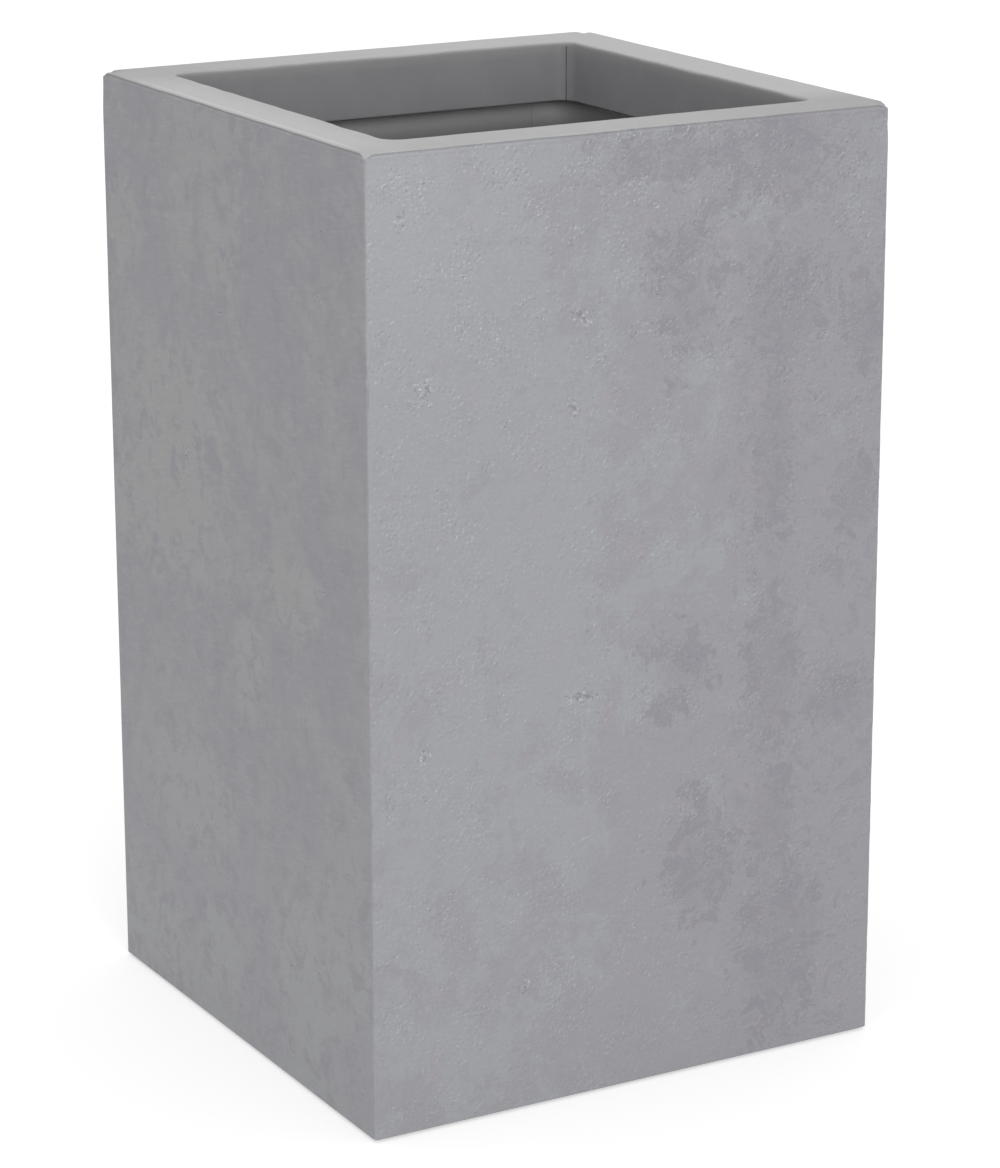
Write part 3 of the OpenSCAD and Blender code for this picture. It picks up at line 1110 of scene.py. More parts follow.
@dataclass(frozen=True)
class LipConcrete(Finish):
    """Smooth matte lip, coated like the walls and the band on its outer and inner sides."""

    light: Colour = grey(180)
    soft: Colour = grey(175)
    bright: Colour = grey(198)
    far: Colour = grey(187)
    streak: Colour = grey(208)
    near_right: Colour = grey(167)
    back_left: Colour = grey(170)
    # Painted shade in the groove under the outer edge.
    groove_shade: Colour = grey(132)
    # The band's coat run over the lip's inner side, in the tone of the band's painted light near its top.
    band: Colour = srgb(150, 149, 149)
    # Painted shade in the pinholes.
    dark_marks_and_shade: Colour = srgb(146, 146, 145)
    top: float = 0.67
    groove: float = 0.6684
    half_groove: float = 0.0012

    def tone(self, g: SurfaceGraph) -> NodeSocket:
        """Colour of the top: paler on the left, back and right segments than along the front.

        Args:
            g: The material's graph.

        Returns:
            The colour's socket.
        """
        x, y, _ = g.parts(g.place)
        front = g.span(y, -0.12, -0.17)
        corner = g.product(g.span(x, -0.09, -0.18), g.span(y, 0.1, 0.17))
        left = g.product(g.span(x, -0.155, -0.185), g.span(y, 0.19, 0.08), g.span(y, -0.2, -0.15))
        off = g.absolute(g.total(x, 0.1945, (g.noise(20.0, 2.0), 0.002)))
        return g.layers(
            self.light,
            (self.soft, g.use(cloud_mottle, Scale=16.0, Seed=3.9)["Mask"]),
            (self.soft, g.span(g.noise(70.0, 5.0, 0.7, 5.0), 0.5, 0.6), 0.5),
            (self.near_right, front, g.span(x, -0.02, 0.2), 0.9),
            (self.far, g.minus(1.0, front), g.span(x, -0.13, 0.1), 0.85),
            (self.back_left, corner, 0.8),
            (self.bright, left, 0.55),
            (self.streak, left, g.span(off, 0.0022, 0.0004), 0.6),
        )

    def dress(self, g: SurfaceGraph) -> None:
        """The top's tone, the sides' coats, and painted shade in the groove under the outer edge.

        Args:
            g: The material's graph.
        """
        x, y, z = g.parts(g.place)
        skin = g.use(WALL_SKIN, Facing=g.facing)
        pins = g.use(air_pits, Scale=120.0, Radius=0.08, Share=0.08)["Pit"]
        outer = g.from_middle("MAXIMUM")
        at_side = g.span(outer, 0.1978, 0.1992)
        height = g.total(z, (g.minus(g.noise(26.0, 3.0), 0.5), 0.0016))
        coated = g.product(at_side, g.span(height, self.top - 0.0004, self.top - 0.0013))
        at_corner = g.span(g.vector("DISTANCE", g.xyz(x, y), (-0.2, 0.2, 0.0)), 0.0115, 0.007)
        # Painted shade in the groove, stronger on the left and right sides.
        groove_shade_mask = g.product(at_side, g.span(g.absolute(g.minus(height, self.groove)), self.half_groove, 0.0))
        in_opening = g.product(g.span(outer, 0.1672, 0.1636), g.span(z, self.top - 0.0004, self.top - 0.0034))
        colour = g.layers(
            self.tone(g),
            # Painted shade in the pinholes.
            (self.dark_marks_and_shade, pins, 0.4),
            (skin["Colour"], g.larger(coated, at_corner)),
            # Painted shade in the groove.
            (self.groove_shade, groove_shade_mask, g.span(g.crosswise(g.facing), 0.0, 1.0, 0.45, 0.6)),
            # Inner side: the band's coat, in the tone of its painted light.
            (self.band, in_opening),
        )
        smooth = g.minus((g.noise(380.0, 3.0, 0.6, 1.1), 0.1), (pins, 0.3))
        g.coat(colour, g.total(0.52, (g.noise(60.0), 0.16)), g.total(smooth, (skin["Height"], at_side)), 0.5,
               shine=0.35)


@dataclass(frozen=True)
class BandConcrete(Finish):
    """Smooth grey coat on the turned-down band, with painted light near its top."""

    base: Colour = srgb(141, 141, 143)
    shade: Colour = srgb(136, 136, 139)
    # Painted light near the band's top, under the opening.
    top: Colour = srgb(150, 149, 149)
    dirt: Colour = srgb(122, 122, 124)

    def dress(self, g: SurfaceGraph) -> None:
        """Brushed coat with faint streaks and dirt towards the corners.

        Args:
            g: The material's graph.
        """
        clouds = g.use(cloud_mottle, Scale=20.0, Rise=0.7, Seed=5.2)["Mask"]
        streaks = g.use(upright_streaks, Scale=110.0, Rise=0.2)["Mask"]
        nearer = g.total(g.from_middle("MINIMUM"), (g.noise(60.0, 3.0), 0.006))
        colour = g.layers(
            self.base,
            (self.shade, clouds),
            # Painted light: paler near the top, under the opening.
            (self.top, g.span(g.parts(g.place)[2], 0.658, 0.667), 0.9),
            (self.shade, streaks, 0.25),
            (self.dirt, g.span(nearer, 0.1555, 0.164), 0.45),
        )
        relief = g.total((g.noise(300.0, 4.0, 0.6, 4.4), 0.4), (streaks, 0.3))
        g.coat(colour, g.total(0.55, (clouds, 0.15)), relief, 0.15, shine=0.3)


@dataclass(frozen=True)
class RawComposite(Finish):
    """Unpainted cement composite, darker where water has stood on it."""

    damp: Colour = srgb(150, 148, 144)

    def dress(self, g: SurfaceGraph) -> None:
        """The raw skin with water marks on what faces up.

        Args:
            g: The material's graph.
        """
        raw = g.use(raw_skin)
        marks = g.use(settled_dust, Facing=g.facing, Scale=22.0, Amount=0.6)["Mask"]
        g.coat(g.layers(raw["Colour"], (self.damp, marks)), raw["Rough"], raw["Height"], 0.5, shine=0.25)


@dataclass(frozen=True)
class ShelfBoard(Finish):
    """Dark grey board of recycled plastic, with chips of other shades pressed into it."""

    board: Colour = srgb(80, 80, 82)
    shade: Colour = srgb(66, 66, 69)
    chip: Colour = srgb(118, 120, 124)
    dark_chip: Colour = srgb(44, 44, 46)
    dust: Colour = srgb(140, 137, 131)

    def dress(self, g: SurfaceGraph) -> None:
        """Chips, flow clouds, scratches and settled dust.

        Args:
            g: The material's graph.
        """
        clouds = g.use(cloud_mottle, Scale=18.0, Seed=8.3)["Mask"]
        scuffs = g.use(hair_scratches, Scale=30.0)["Mask"]
        dust = g.use(settled_dust, Facing=g.facing, Scale=24.0, Amount=0.4)["Mask"]
        colour = g.layers(
            self.board,
            (self.shade, clouds),
            (self.chip, g.use(air_pits, Scale=150.0, Radius=0.42, Share=0.2)["Pit"], 0.65),
            (self.dark_chip, g.use(air_pits, Scale=210.0, Radius=0.4, Share=0.16)["Pit"], 0.7),
            (self.chip, scuffs, 0.4),
            (self.dust, dust),
        )
        relief = g.minus((g.noise(260.0, 4.0, 0.6, 2.9), 0.5), (scuffs, 0.4))
        g.coat(colour, g.total(0.5, (clouds, 0.1), (dust, 0.4)), relief, 0.2)


@dataclass(frozen=True)
class MouldedPlastic(Finish):
    """Matte anthracite plastic with a fine moulded texture."""

    body: Colour = srgb(70, 70, 73)
    flow: Colour = srgb(61, 61, 64)
    scuff: Colour = srgb(96, 96, 99)
    dust: Colour = srgb(128, 125, 118)

    def dress(self, g: SurfaceGraph) -> None:
        """Flow marks, fine texture, scuffs from lifting in and out, and settled dust.

        Args:
            g: The material's graph.
        """
        flow = g.use(cloud_mottle, Scale=12.0, Rise=0.4, Seed=6.1)["Mask"]
        scuffs = g.use(hair_scratches, Scale=24.0)["Mask"]
        dust = g.use(settled_dust, Facing=g.facing, Scale=26.0, Amount=0.35)["Mask"]
        colour = g.layers(
            self.body,
            (self.flow, flow),
            (self.scuff, g.use(upright_streaks, Scale=120.0, Rise=0.08)["Mask"], 0.3),
            (self.scuff, scuffs, 0.5),
            (self.scuff, g.use(edge_wear, Half=0.158, Reach=0.004)["Mask"], 0.25),
            (self.dust, dust),
        )
        relief = g.minus(g.noise(900.0, 2.0, 0.6, 3.4), (scuffs, 0.5))
        g.coat(colour, g.total(0.42, (flow, 0.08), (scuffs, 0.15), (dust, 0.6)), relief, 0.12)


@dataclass(frozen=True)
class SoftRubber(Finish):
    """Matte black rubber with a grey bloom."""

    body: Colour = srgb(40, 40, 41)
    bloom: Colour = srgb(74, 74, 75)
    dust: Colour = srgb(120, 118, 112)
    dust_amount: float = 0.35

    def dress(self, g: SurfaceGraph) -> None:
        """Bloom, moulding grain and settled dust.

        Args:
            g: The material's graph.
        """
        bloom = g.use(cloud_mottle, Scale=70.0, Low=0.4, High=0.7, Seed=1.9)["Mask"]
        stipple = g.use(fine_stipple, Scale=800.0)
        dust = g.use(settled_dust, Facing=g.facing, Scale=60.0, Amount=self.dust_amount)["Mask"]
        colour = g.layers(
            self.body,
            (self.bloom, bloom, 0.5),
            (self.bloom, stipple["Grain"], 0.25),
            (self.dust, dust),
        )
        g.coat(colour, g.total(0.7, (bloom, 0.15)), stipple["Height"], 0.12)


@dataclass(frozen=True)
class BrushedSteel(Finish):
    """Steel with lines along Y or about an upright axis, and small stains."""

    bright: Colour = srgb(196, 197, 200)
    dull: Colour = srgb(160, 160, 162)
    stain: Colour = srgb(128, 122, 112)
    roughness: float = 0.28

    def dress(self, g: SurfaceGraph) -> None:
        """Brushed lines, blotches, stains and scratches on bare metal.

        Args:
            g: The material's graph.
        """
        lines = g.noise(1400.0, 3.0, 0.6, 2.7, at=g.scaled((1.0, 0.05, 0.05)))
        blotch = g.use(cloud_mottle, Scale=120.0, Low=0.4, High=0.66, Seed=3.2)["Mask"]
        stains = g.use(air_pits, Scale=260.0, Radius=0.3, Share=0.16)["Pit"]
        scuffs = g.use(hair_scratches, Scale=90.0)["Mask"]
        colour = g.layers(
            self.bright,
            (self.dull, g.total((lines, 0.4), (blotch, 0.4))),
            (self.stain, stains, 0.35),
        )
        rough = g.total(self.roughness, (lines, 0.14), (blotch, 0.12), (scuffs, 0.12))
        g.coat(colour, rough, g.minus((lines, 0.5), (scuffs, 0.4)), 0.03, metal=1.0)


WALL_FINISH = WallConcrete("wall_concrete", "shell_concrete")
LIP_FINISH = LipConcrete("lip_concrete_smooth", "lip_concrete")
BAND_FINISH = BandConcrete("band_concrete_coat", "band_concrete")
RAW_FINISH = RawComposite("raw_cement_composite", "raw_composite")
BOARD_FINISH = ShelfBoard("recycled_board", "shelf_board")
PLASTIC_FINISH = MouldedPlastic("anthracite_plastic", "insert_plastic")
FOOT_FINISH = SoftRubber("foot_rubber_black", "foot_rubber", dust_amount=0.15)
PLUG_FINISH = SoftRubber("plug_rubber_black", "plug_rubber")
GRIP_FINISH = SoftRubber("grip_sleeve_rubber", "grip_rubber", body=srgb(46, 46, 47), dust_amount=0.12)
WIRE_FINISH = BrushedSteel("satin_steel_wire", "handle_wire")
ZINC_FINISH = BrushedSteel("zinc_plated_steel", "screw_steel", bright=srgb(200, 201, 198),
                           dull=srgb(150, 152, 150), roughness=0.38)


@dataclass(frozen=True)
class Pit:
    """One pit, round or drawn out."""

    radius: float
    depth: float
    turn: float
    slim: float


@dataclass
class Walls:
    """The four walls, one moulding with slightly uneven faces, soft chips and air pits.

    A cluster of pits gives its place across and up the wall, its spread and its number of pits.
    """

    side_cells: int = 80
    corner_cells: int = 6
    rows: int = 132
    inner_rows: int = 10
    edge_round: float = 0.6
    top_round: float = 0.12
    edge_r: float = 1.8
    top_corner_r: float = 3.4
    swell: float = 0.3
    waver: float = 0.12
    chip: float = 1.1
    graze: float = 0.34
    narrow_z: float = 640.0
    pit_r: float = 1.7
    pit_depths: Flat = (0.25, 0.6)
    pit_points: int = 12
    pit_rings: tuple[Flat, ...] = ((1.0, 0.0), (0.74, 0.55), (0.4, 0.95))
    loose_pits: int = 46
    loose_across: Flat = (-190.0, 190.0)
    loose_up: Flat = (20.0, 655.0)
    seed: int = 41
    clusters: tuple[tuple[Side, tuple[Cluster, ...]], ...] = (
        (Side.FRONT, ((-180, 652, 6, 5), (-175, 625, 6, 4), (-40, 548, 8, 7), (-160, 515, 7, 5),
                      (-48, 492, 9, 5), (-40, 290, 9, 7), (-160, 268, 8, 5), (-85, 90, 9, 4),
                      (70, 615, 18, 8))),
        (Side.LEFT, ((-73, 420, 5, 4), (-73, 145, 4, 3), (30, 148, 4, 2), (130, 567, 8, 4),
                     (140, 525, 4, 2), (-55, 35, 5, 2), (73, 95, 5, 2))),
        (Side.RIGHT, ((70, 560, 18, 7), (-110, 380, 22, 6), (20, 170, 18, 5))),
        (Side.BACK, ((-120, 590, 20, 8), (40, 420, 16, 7), (130, 210, 22, 6))),
    )

    def plan_pits(self) -> dict[tuple[int, int, int], Pit]:
        """Chooses the wall cells that hold a pit.

        Returns:
            Pits by side, column and row.
        """
        picks = random.Random(self.seed)
        places = []
        for side, clusters in self.clusters:
            for across, up, spread, count in clusters:
                for _ in range(count):
                    places.append((side, across + picks.gauss(0, spread), up + picks.gauss(0, spread)))
        for side in Side:
            for _ in range(self.loose_pits):
                places.append((side, picks.uniform(*self.loose_across), picks.uniform(*self.loose_up)))
        planned = {}
        straight = SIZES.half - SIZES.edge_r
        for side, across, up in places:
            column = int((across + straight) / (2 * straight) * self.side_cells)
            row = int((up - SIZES.floor_gap) / (SIZES.shell_top - SIZES.floor_gap) * self.rows)
            radius = picks.uniform(0.5, 1.0) ** 1.5 * self.pit_r
            depth = picks.uniform(*self.pit_depths)
            pit = Pit(radius, depth, picks.uniform(0, math.pi), picks.uniform(0.4, 1.0))
            if 1 < column < self.side_cells - 2 and 2 < row < self.rows - 1:
                planned[(side.value, column, row)] = pit
        return planned

    def sunk(self, point: OutlinePoint, z: float, corner: bool) -> float:
        """How far the outer face lies inside its true plane.

        Args:
            point: Point of the outline.
            z: Height in millimetres.
            corner: Whether it lies on an upright edge.

        Returns:
            The depth in millimetres.
        """
        spot = (*point[:2], z)
        depth = self.swell * ripple(*spot, 95.0, 2.0) + self.waver * ripple(*spot, 24.0, 5.0)
        if corner:
            long_chip = fade(ripple(*spot, 16.0, 9.0), 0.62, 0.85)
            depth += self.chip * long_chip * (0.4 + 0.6 * ripple(*spot, 4.0, 3.0))
            depth += self.graze * ripple(*spot, 6.0, 7.0)
        return depth

    def outer_ring(self, half: float, radius: float, z: float) -> list[Vector]:
        """One ring of the outer face.

        Args:
            half: Half the width there.
            radius: Corner radius there.
            z: Height in millimetres.

        Returns:
            The ring's points.
        """
        block = self.side_cells + self.corner_cells
        ring = []
        for index, point in enumerate(rounded_square(half, radius, self.side_cells, self.corner_cells)):
            depth = self.sunk(point, z, index % block >= self.side_cells)
            ring.append(Vector((point[0] - point[2] * depth, point[1] - point[3] * depth, z)))
        return ring

    def sink_pit(self, mesh: PieceMesh, cell: Loop, pit: Pit, inward: Vector) -> None:
        """Fills one wall cell with faces that hold a pit.

        Args:
            mesh: The mesh to add to.
            cell: Corners of the cell, from low left, counter-clockwise seen from outside.
            pit: The pit.
            inward: Direction into the wall.
        """
        low_left, low_right, high_right, high_left = [vertex.co.copy() for vertex in cell]
        x, y, z = low_left
        turn = cmath.rect(1.0, pit.turn)
        rings = []
        for share, depth in self.pit_rings:
            ring = []
            for angle in circle(self.pit_points):
                wobble = 0.78 + 0.44 * ripple(x + 9 * math.cos(angle), y, z + 9 * math.sin(angle), 6.0, 4.0)
                spot = cmath.rect(wobble, angle - pit.turn)
                spot = complex(spot.real, spot.imag * pit.slim) * turn
                spot *= pit.radius * share / (low_right - low_left).length
                low = low_left.lerp(low_right, 0.5 + spot.real)
                high = high_left.lerp(high_right, 0.5 + spot.real)
                ring.append(low.lerp(high, 0.5 + spot.imag) + inward * pit.depth * depth)
            rings.append(mesh.loop(ring))
        rim, middle, bottom = rings
        mesh.bridge(rim, middle)
        mesh.bridge(middle, bottom)
        centre = sum((vertex.co for vertex in bottom), Vector()) / self.pit_points
        mesh.bridge(bottom, [mesh.bm.verts.new(centre + inward * pit.depth * 0.08)])
        quarter = self.pit_points // 4
        owners = [cell[2], cell[3], cell[0], cell[1]]
        for step in range(self.pit_points):
            mesh.bm.faces.new([owners[step // quarter], rim[(step + 1) % self.pit_points], rim[step]])
        for corner in range(4):
            mesh.bm.faces.new([owners[corner - 1], owners[corner], rim[corner * quarter]])

    def build(self) -> None:
        """Builds the walls, with a pit in each planned cell."""
        mesh = PieceMesh()
        pits = self.plan_pits()
        low, high = SIZES.floor_gap, SIZES.shell_top
        rise = high - low - self.edge_round - self.top_round
        levels = [(SIZES.half - self.edge_round, low)]
        for row in range(self.rows + 1):
            levels.append((SIZES.half, low + self.edge_round + rise * row / self.rows))
        levels.append((SIZES.half - self.top_round, high))
        outer = []
        for half, z in levels:
            radius = self.edge_r + (self.top_corner_r - self.edge_r) * fade(z, self.narrow_z, high)
            outer.append(mesh.loop(self.outer_ring(half, radius, z)))
        for row, (below, above) in enumerate(zip(outer, outer[1:])):
            for index in range(len(below)):
                after = (index + 1) % len(below)
                cell = [below[index], below[after], above[after], above[index]]
                side, column = divmod(index, self.side_cells + self.corner_cells)
                pit = pits.get((side, column, row))
                if pit:
                    self.sink_pit(mesh, cell, pit, Vector((*quarter_turn(-1.0, 0.0, side), 0.0)))
                else:
                    mesh.bm.faces.new(cell)
        outline = rounded_square(SIZES.shell_in, SIZES.inner_corner_r, self.side_cells, self.corner_cells)
        inner = []
        for row in range(self.inner_rows + 1):
            z = high - (high - low) * row / self.inner_rows
            inner.append(mesh.loop([Vector((x, y, z)) for x, y, _, _ in outline]))
        for above, below in zip([outer[-1], *inner], [*inner, outer[0]]):
            mesh.bridge(above, below)
        Piece("concrete_walls", Body.PLANTER, "outer_shell", WALL_FINISH).make(mesh)


@dataclass
class Lip:
    """Flat lip with uneven worn edges, a groove under its outer edge and a tongue inside the walls.

    The groove gives inset and drop, and each corner's wear gives its reach and depth.
    """

    side_cells: int = 96
    corner_cells: int = 8
    inner_edge_r: float = 1.0
    inner_wear: float = 2.4
    outer_edge_r: float = 0.9
    outer_wear: float = 0.8
    top_corner_r: float = 6.0
    dip: float = 0.25
    groove: tuple[Flat, ...] = ((0.06, 1.05), (0.3, 1.3), (0.34, 1.75), (0.06, 2.1))
    bed_inset: float = 0.1
    back_right_wear: Flat = (9.0, 1.6)
    back_left_wear: Flat = (11.0, 3.0)
    front_wear: Flat = (10.0, 2.6)

    def profile(self) -> list[Point]:
        """The section around the lip, closed. A groove runs under its outer edge.

        Returns:
            Half width, corner radius and height of each ring.
        """
        s, r, edge = SIZES, self.inner_edge_r, self.outer_edge_r
        top, under, low, bottom = s.height, s.lip_z, s.shell_top + 0.02, s.shell_in - s.tongue_w
        low_r, bed = Walls().top_corner_r, s.half - self.bed_inset
        rings = [(s.opening, s.opening_r, under)]
        rings += [(s.opening + x, s.opening_r + x, z) for x, z in arc((r, top - r), r, 180, 90, 5)]
        for share in (0.2, 0.4, 0.6, 0.8):
            x = r + (s.lip_w - r - edge) * share
            rings.append((s.opening + x, s.opening_r + (self.top_corner_r - s.opening_r) * share, top))
        for x, z in arc((0, top - edge), edge, 90, 0, 4):
            rings.append((s.half - edge + x, self.top_corner_r - edge + x, z))
        for inset, drop in self.groove:
            rings.append((s.half - inset, self.top_corner_r - 0.2 * drop, top - drop))
        rings += [(s.half, 5.2, top - 2.4), (s.half, low_r, under + 0.1)]
        rings += [(bed, low_r, under), (bed, low_r, low), (s.shell_in, s.inner_corner_r, low)]
        rings += [(s.shell_in, s.inner_corner_r, s.tongue_z + 0.5)]
        rings += [(s.shell_in - 0.5, s.inner_corner_r, s.tongue_z), (bottom + 0.5, 1.0, s.tongue_z)]
        return rings + [(bottom, 0.6, s.tongue_z + 0.5), (bottom, 0.6, under)]

    def worn(self, point: OutlinePoint, half: float, z: float, sunk: float) -> Vector:
        """One point of the lip after wear.

        Args:
            point: Point of the ring's outline.
            half: Half the width of the ring.
            z: Height of the ring.
            sunk: How far the walls' outer face lies inside its true plane there.

        Returns:
            The point, inside the true form.
        """
        s = SIZES
        x, y, out_x, out_y = point
        above = fade(z, s.lip_z, s.height)
        drop = above * self.dip * ripple(x, y, 0.0, 70.0, 3.0)
        back_wear = self.back_left_wear if x < 0 else self.back_right_wear
        reach, depth = back_wear if y > 0 else self.front_wear
        drop += above * depth * fade(math.hypot(s.half - abs(x), s.half - abs(y)), reach, 2.0)
        draw = 0.0
        if half > s.half - 1.5:
            draw = sunk + above * self.outer_wear * ripple(x, y, 0.0, 15.0, 6.0)
        elif half < s.opening + self.inner_edge_r + 0.01 and z > s.height - self.inner_edge_r - 0.01:
            wear = self.inner_wear * ripple(x, y, 0.0, 22.0, 8.0) ** 2
            draw = -(half - s.opening) * wear
            drop += (s.height - z) * wear
        return Vector((x - out_x * draw, y - out_y * draw, z - drop))

    def build(self) -> None:
        """Builds the lip; its outer side follows the walls' unevenness."""
        walls = Walls()
        block = self.side_cells + self.corner_cells
        rings = []
        for half, radius, z in self.profile():
            outline = rounded_square(half, radius, self.side_cells, self.corner_cells)
            rings.append([self.worn(point, half, z, walls.sunk(point, z, index % block >= self.side_cells))
                          for index, point in enumerate(outline)])
        Piece("lip_frame", Body.PLANTER, "lip", LIP_FINISH).make(PieceMesh().loft(rings, joined=True))


@dataclass
class Band:
    """Four strips turned down inside the opening, with a wavering seam in each rounded corner."""

    side_cells: int = 40
    half_corner_cells: int = 5
    face_rows: int = 8
    bottom_r: float = 1.6
    top_r: float = 0.05
    seam: float = 0.12
    seam_waver: float = 0.3
    swell: float = 0.25

    def profile(self) -> list[Flat]:
        """The strip's section, closed.

        Returns:
            Depth into the wall and height of each point.
        """
        low, high, thick, r, count = SIZES.band_z, SIZES.lip_z, SIZES.band_t, self.bottom_r, self.face_rows
        face = high - low - r - self.top_r
        section = [(0.0, low + r + face * row / count) for row in range(count, -1, -1)]
        section += arc((r, low + r), r, 180, 270, 4)[1:]
        section += arc((thick - r, low + r), r, 270, 360, 4)
        return section + [(thick, high - self.top_r), (thick - self.top_r, high), (self.top_r, high)]

    def ring(self, side: Side, point: OutlinePoint, end: int) -> list[Vector]:
        """One ring of a strip.

        Args:
            side: The strip's wall.
            point: Point of its course around the +X side.
            end: -1 at its first end, 1 at its last, else 0.

        Returns:
            The ring's points.
        """
        x, y, out_x, out_y = point
        place = quarter_turn(x, y, side.value)
        ring = []
        for depth, z in self.profile():
            uneven = self.swell * ripple(*place, z, 40.0, 1.0) if depth < 0.1 else 0.0
            away = depth + uneven * fade(z, SIZES.lip_z, SIZES.lip_z - 9.0)
            pull = end * (self.seam + self.seam_waver * ripple(side.value * 50.0, end * 9.0, z, 9.0))
            spot = (x + out_x * away + out_y * pull, y + out_y * away - out_x * pull)
            ring.append(Vector((*quarter_turn(*spot, side.value), z)))
        return ring

    def build(self) -> None:
        """Builds the four strips, each from mid-corner to mid-corner."""
        outline = rounded_square(SIZES.opening, SIZES.opening_r, self.side_cells, 2 * self.half_corner_cells)
        last = self.side_cells + self.half_corner_cells
        course = [outline[index % len(outline)] for index in range(-self.half_corner_cells, last + 1)]
        ends = [-1, *[0] * (len(course) - 2), 1]
        for side in Side:
            mesh = PieceMesh().loft([self.ring(side, point, end) for point, end in zip(course, ends)])
            Piece(f"band_strip_{side.label}", Body.PLANTER, f"band_{side.label}", BAND_FINISH).make(mesh)


@dataclass
class CornerPosts:
    """Four upright posts behind the walls' corners, each with a hollow inner face."""

    leg: float = 44.0
    edge_t: float = 0.8
    bevel: float = 6.0
    rows: int = 26
    uneven: float = 0.25
    names: tuple[str, ...] = ("back_right", "back_left", "front_left", "front_right")

    def outline(self) -> list[Flat]:
        """The post's section in the +X +Y corner.

        Returns:
            Its points, counter-clockwise.
        """
        inner, outer = SIZES.shell_in - self.leg, SIZES.shell_in
        corner = [(outer, inner), (outer, outer - self.bevel), (outer - self.bevel, outer), (inner, outer)]
        return corner + arc((inner, inner), self.leg - self.edge_t, 90, 0, 20)

    def spot(self, x: float, y: float, z: float, turn: int) -> Vector:
        """A point of a post; only its hollow face is uneven.

        Args:
            x: Place in the +X +Y corner.
            y: Place in the +X +Y corner.
            z: Height in millimetres.
            turn: Quarter turns to the post's own corner.

        Returns:
            The point.
        """
        wall = SIZES.shell_in
        hollow = max(x, y) < wall - 0.1 and x + y < 2 * wall - 7
        sink = self.uneven * ripple(*quarter_turn(x, y, turn), z, 30.0, 8.0) if hollow else 0.0
        return Vector((*quarter_turn(x + sink, y + sink, turn), z))

    def build(self) -> None:
        """Builds the four posts."""
        low, high = SIZES.base_top, SIZES.tongue_z
        levels = [low + (high - low) * row / self.rows for row in range(self.rows + 1)]
        for turn, label in enumerate(self.names):
            mesh = PieceMesh().loft([[self.spot(x, y, z, turn) for x, y in self.outline()] for z in levels])
            Piece(f"post_{label}", Body.PLANTER, f"corner_post_{label}", RAW_FINISH).make(mesh, bevel=0.25)


